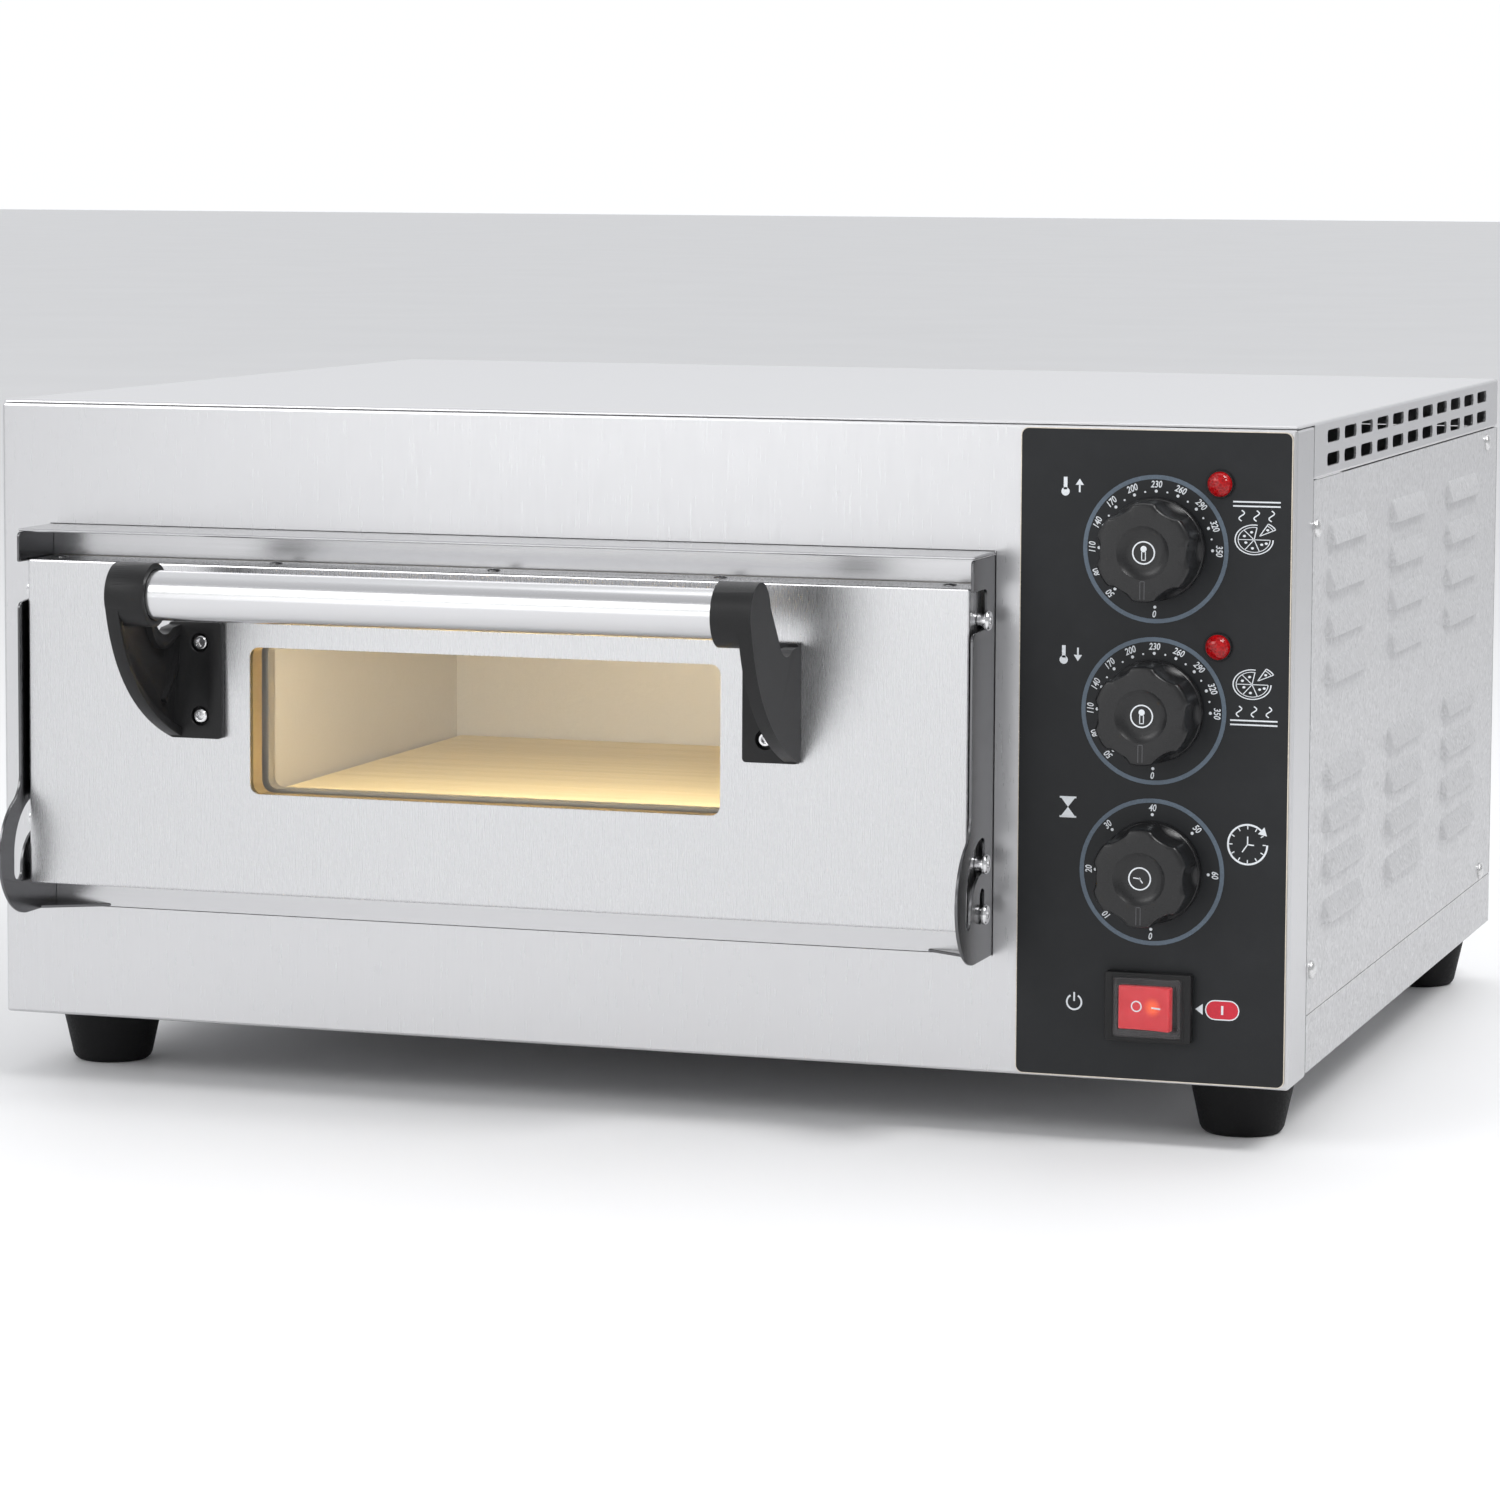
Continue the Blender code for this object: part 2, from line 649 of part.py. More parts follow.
def cheek_outline():
    """A hinge plate's edge, from the top rear corner forwards and down round the ear."""
    front, rear = FRONT - CHEEK_OUT, FRONT - GAP
    base, top = FOOT_HEIGHT + FRAME_BASE, FOOT_HEIGHT + CHEEK_TOP
    hook = FOOT_HEIGHT + HOOK_Z
    stud_y, pivot_z = FRONT - STUD_OUT, FOOT_HEIGHT + HINGE_Z
    latch_z = FOOT_HEIGHT + LATCH_Z
    under = LATCH_Z - HINGE_Z - SLOT_RADIUS
    lip = math.degrees(math.asin((CHEEK_OUT - LIP_ROUND - STUD_OUT) / under))
    notch = [(front, hook), (stud_y + SLOT_RADIUS, hook)]
    notch += arc((stud_y, latch_z), SLOT_RADIUS, 0, -90, 4)
    path = arc((stud_y, pivot_z), under, 90, 90 + lip, 4)
    nose = [(front, path[-1][1] - LIP_ROUND)]
    centre = (FRONT - EAR_OUT, base + EAR_RADIUS)
    fillet_y = front - BLEND_RADIUS
    fillet_z = centre[1] + math.sqrt(
        (EAR_RADIUS + BLEND_RADIUS) ** 2 - (centre[0] - fillet_y) ** 2
    )
    turn = math.degrees(math.atan2(fillet_z - centre[1], fillet_y - centre[0]))
    fillet = arc((fillet_y, fillet_z), BLEND_RADIUS, 0, turn - 180, 6)
    ear = arc(centre, EAR_RADIUS, turn, 270, 22)
    head = [(rear, top), (front + HOOK_ROUND, top), (front, top - HOOK_ROUND)]
    return head + notch + path[1:] + nose + fillet + ear[1:] + [(rear, base)]


def cheek(name, side):
    """A hinge plate beside the door. side is -1 on the left and 1 on the right."""
    inner = DOOR_X + side * CHEEK_IN
    start = min(inner, inner + side * SHEET)
    plate = prism(name, cheek_outline(), "YZ", start, SHEET, POLISHED)
    root = inner + side * SHEET / 2
    corners = [
        (root, FRONT - TAB_OUT),
        (root, FRONT - GAP),
        (inner - side * TAB_LENGTH, FRONT - GAP),
    ]
    tab = prism(name + "_tab", corners, "XY", FOOT_HEIGHT + FRAME_BASE, SHEET, None, cutters)
    join_all(plate, tab)
    for label, outline in (("guide", guide_slot()), ("hinge", hinge_slot())):
        hole = prism(f"{name}_{label}", outline, "YZ", start - SHEET, 3 * SHEET, None, cutters)
        boolean(plate, hole)
    return plate


def vent_cutter():
    """Two rows of slots, cut through both side flanges at once."""
    shapes = []
    for column in range(VENT_COLUMNS):
        for row in range(2):
            y = VENT_FIRST + column * VENT_PITCH
            z = BODY_HEIGHT - VENT_DROP - row * VENT_ROW_GAP
            outline = rounded(
                -VENT_LENGTH / 2, -VENT_HEIGHT / 2, VENT_LENGTH / 2, VENT_HEIGHT / 2, VENT_CORNER, 3
            )
            slot = prism("slot", outline, "YZ", 0, 1.1 * BODY_WIDTH, None, cutters)
            mesh = slot.data
            offset = Vector(slot.location)
            bpy.data.objects.remove(slot, do_unlink=True)
            shapes.append((mesh, at(-0.55 * BODY_WIDTH, y, z) + offset))
    return joined_cutter("vents", shapes)


def top_cover():
    """The lid: a flat top with a vented flange down each side and a plain one at the back."""
    low = at(-HALF, SHEET, FLANGE_BASE)
    cover = box("top_cover", low, at(HALF, BODY_DEPTH, BODY_HEIGHT), GALVANISED)
    inside = box(
        "cover_inside",
        at(-HALF + THIN, -SHEET, FLANGE_BASE - SHEET),
        at(HALF - THIN, BODY_DEPTH - THIN, COVER_UNDER),
        None,
        cutters,
    )
    notch = box(
        "cover_notch",
        at(-HALF - SHEET, -SHEET, FLANGE_BASE - SHEET),
        at(HALF + SHEET, RETURN_DEPTH + GAP, COVER_UNDER),
        None,
        cutters,
    )
    bevel(cover, 0.0012, 2)
    return cut_all(cover, inside, notch, vent_cutter())


def louvre_places():
    for column in range(LOUVRE_COLUMNS):
        y = LOUVRE_FIRST + column * LOUVRE_PITCH_Y + LOUVRE_LENGTH / 2
        for group in range(2):
            for row in range(LOUVRE_ROWS):
                yield y, LOUVRE_TOP - group * LOUVRE_GROUP_GAP - row * LOUVRE_PITCH_Z


def louvre_mesh(length, height, out, slope, root):
    """A raised wedge on +X: flat lower edge, sloping face and ends. root is its depth in the sheet."""

    def build(bm):
        low = [
            bm.verts.new((-root, -length / 2, 0)),
            bm.verts.new((0, -length / 2, 0)),
            bm.verts.new((out, -length / 2 + slope, 0)),
            bm.verts.new((out, length / 2 - slope, 0)),
            bm.verts.new((0, length / 2, 0)),
            bm.verts.new((-root, length / 2, 0)),
        ]
        high = [
            bm.verts.new((-root, -length / 2 + slope, height)),
            bm.verts.new((0, -length / 2 + slope, height)),
            bm.verts.new((0, length / 2 - slope, height)),
            bm.verts.new((-root, length / 2 - slope, height)),
        ]
        bmesh.ops.convex_hull(bm, input=low + high)

    return mesh_of("louvre", build)


def side_panel(name, side):
    """A louvred side. The air slot under each louvre opens into the cabinet."""
    outer = side * HALF
    low_x, high_x = min(outer, outer - side * THIN), max(outer, outer - side * THIN)
    panel = box(
        name,
        at(low_x, RETURN_DEPTH + GAP, TRAY_TOP + GAP),
        at(high_x, BODY_DEPTH - THIN - GAP, FLANGE_BASE - GAP),
        GALVANISED,
    )
    solid = louvre_mesh(LOUVRE_LENGTH, LOUVRE_HEIGHT, LOUVRE_OUT, 0.006, THIN / 2)
    hollow = louvre_mesh(
        LOUVRE_LENGTH - 0.004, LOUVRE_HEIGHT - 0.002, LOUVRE_OUT - 0.0008, 0.006, 2 * THIN
    )
    if side < 0:
        for mesh in (solid, hollow):
            mesh.transform(Matrix.Scale(-1, 4, (1, 0, 0)))
            mesh.flip_normals()
    raised = [(solid, at(outer, y, z)) for y, z in louvre_places()]
    drop = Vector((0, 0, -0.0004))
    air = [(hollow, at(outer, y, z) + drop) for y, z in louvre_places()]
    join_all(panel, joined_cutter(name + "_louvres", raised))
    return cut_all(panel, joined_cutter(name + "_air", air))


def base_tray():
    low = at(-HALF, RETURN_DEPTH + GAP, TRAY_LIFT)
    tray = box("base_tray", low, at(HALF, BODY_DEPTH, TRAY_TOP), GALVANISED)
    inside = box(
        "tray_inside",
        at(-HALF + THIN, 0, TRAY_LIFT + THIN),
        at(HALF - THIN, BODY_DEPTH - THIN, TRAY_TOP + THIN),
        None,
        cutters,
    )
    tongue = box(
        "tray_tongue",
        at(-HALF + SHEET + GAP, LOWER_RETURN + GAP, TRAY_LIFT),
        at(HALF - SHEET - GAP, RETURN_DEPTH + 2 * SHEET, TRAY_LIFT + THIN),
        None,
        cutters,
    )
    return join_all(cut_all(tray, inside), tongue)


def rear_panel():
    """The flat back, with a hole for the cable gland and a field of air slots."""
    low = at(-HALF, BODY_DEPTH - THIN, TRAY_TOP + GAP)
    panel = box("rear_panel", low, at(HALF, BODY_DEPTH, FLANGE_BASE - GAP), GALVANISED)
    shapes = [(rod_mesh(GLAND_RADIUS * 0.72 + GAP, 0.02, "Y", 24), at(GLAND_X, BODY_DEPTH, GLAND_Z))]
    wide, tall = REAR_SLOT_LENGTH / 2, REAR_SLOT_HEIGHT / 2
    for column in range(2):
        for row in range(REAR_SLOT_ROWS):
            mesh, middle = box_mesh("slot", (-wide, -0.01, -tall), (wide, 0.01, tall))
            x = HALF - REAR_SLOT_INSET + column * REAR_SLOT_PITCH_X
            place = at(x, BODY_DEPTH, BODY_HEIGHT - REAR_SLOT_DROP - row * REAR_SLOT_PITCH_Z)
            shapes.append((mesh, place + middle))
    return cut_all(panel, joined_cutter("rear_holes", shapes))


def foot(name, x, y):
    """A tapered rubber cup under the tray."""
    top = TRAY_LIFT - GAP
    bore = 0.004
    hollow = 0.006
    profile = [
        (bore, top),
        (FOOT_TOP_RADIUS, top),
        (FOOT_BASE_RADIUS + 0.0012, -FOOT_HEIGHT + 0.004),
        (FOOT_BASE_RADIUS + 0.0004, -FOOT_HEIGHT + 0.0015),
        (FOOT_BASE_RADIUS - 0.0012, -FOOT_HEIGHT),
        (0.009, -FOOT_HEIGHT),
        (0.009, -FOOT_HEIGHT + hollow),
        (bore, -FOOT_HEIGHT + hollow),
        (bore, top),
    ]
    return turned(name, at(x, y, 0), profile, RUBBER)


def feet():
    for side, label in ((-1, "left"), (1, "right")):
        x = side * (HALF - FOOT_SIDE_INSET)
        foot(f"foot_front_{label}", x, FOOT_FRONT_INSET)
        foot(f"foot_rear_{label}", x, BODY_DEPTH - FOOT_REAR_INSET)


# ---------------------------------------------------------------- chamber


def element_path(z):
    """A flat serpentine with both tails out through the right wall, as a list of points."""
    reach = CHAMBER_WIDTH / 2 - ELEMENT_SIDE_GAP
    runs = 2 * ELEMENT_RUNS
    step = 2 * reach / (runs - 1)
    bend = step / 2
    far_right = DOOR_X + reach
    points = [(ELEMENT_TAIL_X, ELEMENT_BACK)]
    points += arc((far_right + bend, ELEMENT_BACK - bend), bend, 90, 180, 4)
    for i in range(runs - 1):
        middle_x = far_right - step * i - bend
        if i % 2 == 0:
            points += arc((middle_x, ELEMENT_FRONT + bend), bend, 0, -180, 7)
        else:
            points += arc((middle_x, ELEMENT_BACK - bend), bend, 0, 180, 7)
    rear = ELEMENT_BACK + ELEMENT_TAIL_GAP
    far_left = far_right - step * (runs - 1)
    points += arc((far_left + bend, rear - bend), bend, 180, 90, 4)
    points.append((ELEMENT_TAIL_X, rear))
    return [at(x, y, z) for x, y in points]


def element(name, z):
    return wire(name, element_path(z), ELEMENT_RADIUS, INCOLOY, 1)


def wall_holes(name, tails):
    """Holes for the elements' tails and the sensing bulbs through everything right of the chamber."""
    length = 0.06
    middle = DOOR_X + CHAMBER_WIDTH / 2 + 0.018
    shapes = []
    for radius, y, z in tails:
        shapes.append((rod_mesh(radius, length, "X", 12), at(middle, y, z)))
    return joined_cutter(name, shapes)


def tails():
    sleeve = ELEMENT_RADIUS + ELEMENT_CLEAR
    found = []
    for z in (UPPER_ELEMENT_Z, LOWER_ELEMENT_Z):
        found.append((sleeve, ELEMENT_BACK, z))
        found.append((sleeve, ELEMENT_BACK + ELEMENT_TAIL_GAP, z))
    for y, z in (UPPER_BULB, LOWER_BULB):
        found.append((BULB_RADIUS + ELEMENT_CLEAR, y, z))
    return found


def liner():
    """The chamber's steel box, open at the front."""
    wide = CHAMBER_WIDTH / 2
    front = SHEET + GAP
    shell = box(
        "chamber_liner",
        at(DOOR_X - wide - THIN, front, CHAMBER_BASE - THIN),
        at(DOOR_X + wide + THIN, CHAMBER_BACK + THIN, CHAMBER_TOP + THIN),
        LINER_STEEL,
    )
    inside = box(
        "liner_inside",
        at(DOOR_X - wide, 0, CHAMBER_BASE),
        at(DOOR_X + wide, CHAMBER_BACK, CHAMBER_TOP),
        None,
        cutters,
    )
    return cut_all(shell, inside, wall_holes("liner_holes", tails()))


def blanket():
    """Ceramic wool wrapped round the liner, open at the front."""
    wide = CHAMBER_WIDTH / 2 + THIN + GAP
    front = SHEET + 3 * GAP
    low, high = CHAMBER_BASE - THIN - GAP, CHAMBER_TOP + THIN + GAP
    back = CHAMBER_BACK + THIN + GAP
    wrap = box(
        "insulation_blanket",
        at(DOOR_X - wide - BLANKET, front, low - BLANKET),
        at(DOOR_X + wide + BLANKET, back + BLANKET, high + BLANKET),
        WOOL,
    )
    inside = box(
        "blanket_inside", at(DOOR_X - wide, 0, low), at(DOOR_X + wide, back, high), None, cutters
    )
    return cut_all(wrap, inside, wall_holes("blanket_holes", tails()))


def partition():
    """The wall between the hot side and the controls."""
    low = at(PARTITION_X, SHEET + GAP, TRAY_LIFT + THIN + GAP)
    high = at(PARTITION_X + THIN, BODY_DEPTH - THIN - GAP, COVER_UNDER - GAP)
    wall = box("partition", low, high, GALVANISED)
    notch_low = at(PARTITION_X - THIN, 0, 0)
    notch_top = at(PARTITION_X + 2 * THIN, RETURN_DEPTH + 2 * GAP, SHEET + TRAY_LIFT + GAP)
    lower = box("partition_foot_notch", notch_low, notch_top, None, cutters)
    upper = box(
        "partition_head_notch",
        at(PARTITION_X - THIN, 0, PANEL_TOP - SHEET - GAP),
        at(PARTITION_X + 2 * THIN, RETURN_DEPTH + 2 * GAP, BODY_HEIGHT),
        None,
        cutters,
    )
    return cut_all(wall, lower, upper, wall_holes("partition_holes", tails()))


def stone():
    wide = CHAMBER_WIDTH / 2 - STONE_CLEAR
    slab = box(
        "pizza_stone",
        at(DOOR_X - wide, SHEET + STONE_CLEAR, STONE_TOP - STONE_THICK),
        at(DOOR_X + wide, CHAMBER_BACK - STONE_CLEAR, STONE_TOP),
        STONE,
    )
    return bevel(slab, 0.001)


def rail(name, side):
    """An angle along the chamber's side that the stone lies on."""
    wall = DOOR_X + side * (CHAMBER_WIDTH / 2 - GAP)
    top = STONE_TOP - STONE_THICK - GAP
    front, back = ELEMENT_FRONT - 0.005, ELEMENT_BACK - 0.012
    edge = wall - side * RAIL_WIDTH
    low = at(min(wall, edge), front, CHAMBER_BASE + GAP)
    angle = box(name, low, at(max(wall, edge), back, top), GALVANISED)
    inner = wall - side * RAIL_THICK
    beyond = edge - side * RAIL_THICK
    hollow = box(
        name + "_hollow",
        at(min(inner, beyond), front - RAIL_THICK, 0),
        at(max(inner, beyond), back + RAIL_THICK, top - RAIL_THICK),
        None,
        cutters,
    )
    return cut_all(angle, hollow)


# ---------------------------------------------------------------- controls


def overlay():
    """The printed label over the control column."""
    right = HALF - SHEET - OVERLAY_MARGIN / 2
    sheet = prism(
        "control_overlay",
        [
            (x, FOOT_HEIGHT + z)
            for x, z in rounded(
                OVERLAY_LEFT, OVERLAY_MARGIN, right, PANEL_TOP - OVERLAY_MARGIN, OVERLAY_CORNER
            )
        ],
        "XZ",
        FRONT - OVERLAY_FACE,
        OVERLAY_THICK,
        OVERLAY,
    )
    return cut_all(sheet, control_holes("overlay_holes", 0, 0.02))


def knob(name, index):
    """A fluted knob with a dished middle, its pointer at six o'clock."""
    place = at(DIAL_X, -OVERLAY_FACE - KNOB_FLOAT, dial_z(index))
    grip = KNOB_RADIUS
    profile = [
        (0.0, KNOB_DEPTH - KNOB_DISH),
        (0.5 * KNOB_DISH_RADIUS, KNOB_DEPTH - KNOB_DISH),
        (0.85 * KNOB_DISH_RADIUS, KNOB_DEPTH - 0.75 * KNOB_DISH),
        (KNOB_DISH_RADIUS, KNOB_DEPTH),
        (KNOB_FRONT_RADIUS - 0.001, KNOB_DEPTH),
        (KNOB_FRONT_RADIUS, KNOB_DEPTH - 0.001),
        (grip, 0.0015),
        (grip, 0.0),
        (0.0, 0.0),
    ]
    made = turned(name, place, profile, BLACK_PLASTIC, "Y", steps=48)
    made.matrix_world = Matrix.Translation(place) @ Matrix.Rotation(math.radians(90), 4, "X")
    shapes = []
    for turn in range(KNOB_FLUTES):
        angle = math.radians(360 / KNOB_FLUTES * turn)
        far = KNOB_FRONT_RADIUS + FLUTE_RADIUS - FLUTE_DEPTH
        mesh = rod_mesh(FLUTE_RADIUS, KNOB_DEPTH, "Y", 32)
        offset = Vector((far * math.cos(angle), -0.004 - KNOB_DEPTH / 2, far * math.sin(angle)))
        shapes.append((mesh, place + offset))
    bore = rod_mesh(SHAFT_RADIUS + SHAFT_CLEAR, 2 * (SHAFT_REACH + GAP), "Y", 24)
    shapes.append((bore, place))
    reach = KNOB_FRONT_RADIUS - KNOB_DISH_RADIUS + 0.002
    groove, _ = box_mesh(
        "groove",
        (-POINTER_WIDTH / 2, -POINTER_DEPTH, -reach / 2),
        (POINTER_WIDTH / 2, POINTER_DEPTH, reach / 2),
    )
    drop = Vector((0, -KNOB_DEPTH, -KNOB_DISH_RADIUS - reach / 2 - 0.0005))
    shapes.append((groove, place + drop))
    return cut_all(made, joined_cutter(name + "_cuts", shapes))


def shaft(name, index):
    """The spindle that the knob is pressed on. It ends inside the regulator's bush."""
    start = at(DIAL_X, -OVERLAY_FACE - KNOB_FLOAT - SHAFT_REACH, dial_z(index))
    length = SHAFT_REACH + KNOB_FLOAT + OVERLAY_FACE + SHEET + REGULATOR_SETBACK
    return smooth(rod(name, start, length, SHAFT_RADIUS, "Y", POLISHED))


def bush_and_bore(made, name, index, depth):
    """Gives a regulator its threaded neck and the bore that its spindle turns in."""
    neck_start = at(DIAL_X, -GAP / 2, dial_z(index))
    neck_length = SHEET + REGULATOR_SETBACK + depth / 4
    neck = rod(name + "_neck", neck_start, neck_length, BUSH_RADIUS, "Y", None, cutters)
    bore_start = at(DIAL_X, -SHEET, dial_z(index))
    bore_length = 2 * SHEET + REGULATOR_SETBACK + 0.0005
    bore = rod(
        name + "_bore", bore_start, bore_length, SHAFT_RADIUS + SHAFT_CLEAR, "Y", None, cutters
    )
    return cut_all(join_all(made, neck), bore)


def regulator(name, index):
    """A capillary thermostat behind its dial."""
    half = REGULATOR_SIDE / 2
    z = dial_z(index)
    front = SHEET + REGULATOR_SETBACK
    body = box(
        name,
        at(DIAL_X - half, front, z - half),
        at(DIAL_X + half, front + REGULATOR_DEPTH, z + half),
        BLACK_PLASTIC,
    )
    return bush_and_bore(bevel(body, 0.002), name, index, REGULATOR_DEPTH)


def timer():
    front = SHEET + REGULATOR_SETBACK
    body = rod("timer", at(DIAL_X, front, dial_z(2)), TIMER_DEPTH, TIMER_RADIUS, "Y", ALUMINIUM)
    return bush_and_bore(body, "timer", 2, TIMER_DEPTH)


def sensing_bulb(name, index, place):
    """A bulb in the chamber on its capillary from the regulator's back."""
    start_x = DIAL_X - REGULATOR_SIDE / 4
    leave = SHEET + REGULATOR_SETBACK + REGULATOR_DEPTH + GAP
    bulb_y, bulb_z = place
    wall = DOOR_X + CHAMBER_WIDTH / 2
    outside = PARTITION_X + THIN + 0.010
    z = dial_z(index)
    points = [
        at(start_x, leave, z),
        at(start_x, leave + 0.020, z),
        at(start_x - 0.006, leave + 0.036, z + 0.25 * (bulb_z - z)),
        at((start_x + outside) / 2, leave + 0.044, z + 0.6 * (bulb_z - z)),
        at(outside + 0.008, (leave + 0.044 + bulb_y) / 2, z + 0.9 * (bulb_z - z)),
        at(outside + 0.004, bulb_y + 0.002, bulb_z),
        at(outside, bulb_y, bulb_z),
        at(wall - 0.006, bulb_y, bulb_z),
        at(wall - 0.008, bulb_y, bulb_z),
        at(wall - 0.006 - BULB_LENGTH, bulb_y, bulb_z),
        at(wall - 0.008 - BULB_LENGTH, bulb_y, bulb_z),
    ]
    fat = BULB_RADIUS / CAPILLARY_RADIUS
    radii = [1] * 8 + [fat, fat, 0.6 * fat]
    return wire(name, points, CAPILLARY_RADIUS, BRASS, 1, radii)


def lamp(name, index):
    """A domed pilot light in its hole beside a dial."""
    z = dial_z(index) + LAMP_RISE
    flange = OVERLAY_FACE + GAP
    front = LAMP_OUT - 0.001
    dome = arc((0, 0), 1, 90, 0, 6)
    profile = [(LAMP_RADIUS * a, flange + 0.001 + front * b) for a, b in dome]
    profile += [
        (LAMP_RADIUS, flange),
        (LAMP_STEM, flange),
        (LAMP_STEM, -LAMP_DEPTH),
        (0.0, -LAMP_DEPTH),
    ]
    profile[0] = (0.0, profile[0][1])
    made = turned(name, at(LAMP_X, 0, z), profile, RED_LENS, "Z", steps=24)
    made.matrix_world = Matrix.Translation(at(LAMP_X, 0, z)) @ Matrix.Rotation(
        math.radians(90), 4, "X"
    )
    return made


def switch():
    """The power switch: its housing, a lit rocker that tips left and right, and a clear cap."""
    back_out = OVERLAY_FACE + GAP

    def block(name, width, height, near, far, look=None, home=cutters):
        low = at(DIAL_X - width / 2, -near, SWITCH_Z - height / 2)
        high = at(DIAL_X + width / 2, -far, SWITCH_Z + height / 2)
        return box(name, low, high, look, home)

    housing = block(
        "switch_housing", BEZEL_WIDTH, BEZEL_HEIGHT, BEZEL_OUT, back_out, BLACK_PLASTIC, parts
    )
    bevel(housing, 0.0005)
    tall = ROCKER_HEIGHT + 2 * GAP
    body = block("switch_body", SWITCH_WIDTH, SWITCH_HEIGHT, back_out + 0.001, -SWITCH_DEPTH)
    well = block("switch_well", ROCKER_ROOM, tall, 2 * BEZEL_OUT, -0.006)
    cut_all(join_all(housing, body), well)

    half = ROCKER_WIDTH / 2
    outline = [
        (-half, -ROCKER_FRONT),
        (0, -ROCKER_FRONT + 0.0012),
        (half, -ROCKER_FRONT),
        (half, -ROCKER_FRONT + 0.004),
        (0.7 * half, ROCKER_BACK),
        (-0.7 * half, ROCKER_BACK),
        (-half, -ROCKER_FRONT + 0.004),
    ]
    tip = Matrix.Rotation(ROCKER_TILT, 2)
    outline = [tuple(tip @ Vector(point)) for point in outline]
    pivot = at(DIAL_X, -ROCKER_PIVOT_OUT, SWITCH_Z)
    rocker = prism(
        "switch_rocker", outline, "XY", -ROCKER_HEIGHT / 2, ROCKER_HEIGHT, RED_ROCKER
    )
    rocker.data.transform(Matrix.Translation(rocker.location))
    rocker.location = pivot
    bevel(rocker, 0.0004)

    cap = block("switch_cover", COVER_WIDTH, COVER_HEIGHT, COVER_OUT, BEZEL_OUT + GAP, CLEAR_VINYL, parts)
    bevel(cap, 0.002, 2)
    inner_width, inner_height = COVER_WIDTH - 2 * COVER_WALL, COVER_HEIGHT - 2 * COVER_WALL
    hollow = block("cover_hollow", inner_width, inner_height, COVER_OUT - COVER_WALL, 0)
    cut_all(cap, hollow)


def gland():
    """The cable gland in the back, with the bore that a supply lead passes through."""
    inner = 0.72 * GLAND_RADIUS
    profile = [
        (GLAND_BORE, GLAND_OUT),
        (0.70 * GLAND_RADIUS, GLAND_OUT),
        (0.86 * GLAND_RADIUS, GLAND_OUT - 0.002),
        (0.86 * GLAND_RADIUS, 0.004),
        (GLAND_RADIUS, 0.004),
        (GLAND_RADIUS, GAP),
        (inner, GAP),
        (inner, -0.012),
        (GLAND_BORE, -0.012),
        (GLAND_BORE, GLAND_OUT),
    ]
    made = turned("cable_gland", Vector(), profile, BLACK_PLASTIC, steps=24)
    made.matrix_world = Matrix.Translation(at(GLAND_X, BODY_DEPTH, GLAND_Z)) @ AXES["Y"]
    return made


def terminal_block():
    front = BODY_DEPTH - TERMINAL_REAR_GAP - TERMINAL_DEPTH
    low = at(HALF - TERMINAL_INSET, front, TRAY_LIFT + THIN + GAP)
    size = Vector((TERMINAL_WIDTH, TERMINAL_DEPTH, TERMINAL_HEIGHT))
    block = box("terminal_block", low, low + size, CERAMIC)
    shapes = []
    for index in range(3):
        well = rod_mesh(TERMINAL_BORE, 2 * TERMINAL_WELL, "Z", 10)
        x = TERMINAL_WIDTH / 2 + TERMINAL_PITCH * (index - 1)
        shapes.append((well, low + Vector((x, TERMINAL_DEPTH / 2, TERMINAL_HEIGHT))))
    return cut_all(block, joined_cutter("terminal_wells", shapes))


# ---------------------------------------------------------------- door

HINGE = at(DOOR_X, -STUD_OUT, HINGE_Z)
door = bpy.data.objects.new("door_hinge", None)
door.location = HINGE
parts.objects.link(door)


def on_door(*pieces):
    for piece in pieces:
        piece.parent = door
        piece.matrix_parent_inverse = Matrix.Translation(-HINGE)


def window_outline(margin, corner):
    half = WINDOW_WIDTH / 2 + margin
    low, high = FOOT_HEIGHT + WINDOW_BASE - margin, FOOT_HEIGHT + WINDOW_TOP + margin
    return rounded(WINDOW_X - half, low, WINDOW_X + half, high, corner, 5)


def door_skin():
    """The outer tray: a brushed face folded back on all four sides."""
    wide = DOOR_WIDTH / 2
    skin = box(
        "door_skin",
        at(DOOR_X - wide, -DOOR_FACE, DOOR_BASE),
        at(DOOR_X + wide, -DOOR_BACK - THIN - GAP, DOOR_TOP),
        STAINLESS,
    )
    inside = box(
        "skin_inside",
        at(DOOR_X - wide + THIN, -DOOR_FACE + THIN, DOOR_BASE + THIN),
        at(DOOR_X + wide - THIN, 0, DOOR_TOP - THIN),
        None,
        cutters,
    )
    start = FRONT - DOOR_FACE - THIN
    hole = prism(
        "skin_window", window_outline(0, WINDOW_CORNER), "XZ", start, 3 * THIN, None, cutters
    )
    bevel(skin, 0.0008, 2)
    return cut_all(skin, inside, hole)


def door_liner():
    """The inner pan: a back plate with a lip that carries the inner glass."""
    wide = DOOR_WIDTH / 2
    plate = box(
        "door_liner",
        at(DOOR_X - wide, -DOOR_BACK - THIN, DOOR_BASE),
        at(DOOR_X + wide, -DOOR_BACK, DOOR_TOP),
        LINER_STEEL,
    )
    lip_start = FRONT - DOOR_BACK - THIN / 2 - INNER_WINDOW_DEPTH
    lip = prism(
        "liner_lip",
        window_outline(THIN, WINDOW_CORNER + THIN),
        "XZ",
        lip_start,
        INNER_WINDOW_DEPTH,
        None,
        cutters,
    )
    hole = prism(
        "liner_window", window_outline(0, WINDOW_CORNER), "XZ", lip_start - THIN, 0.02, None, cutters
    )
    return cut_all(join_all(plate, lip), hole)


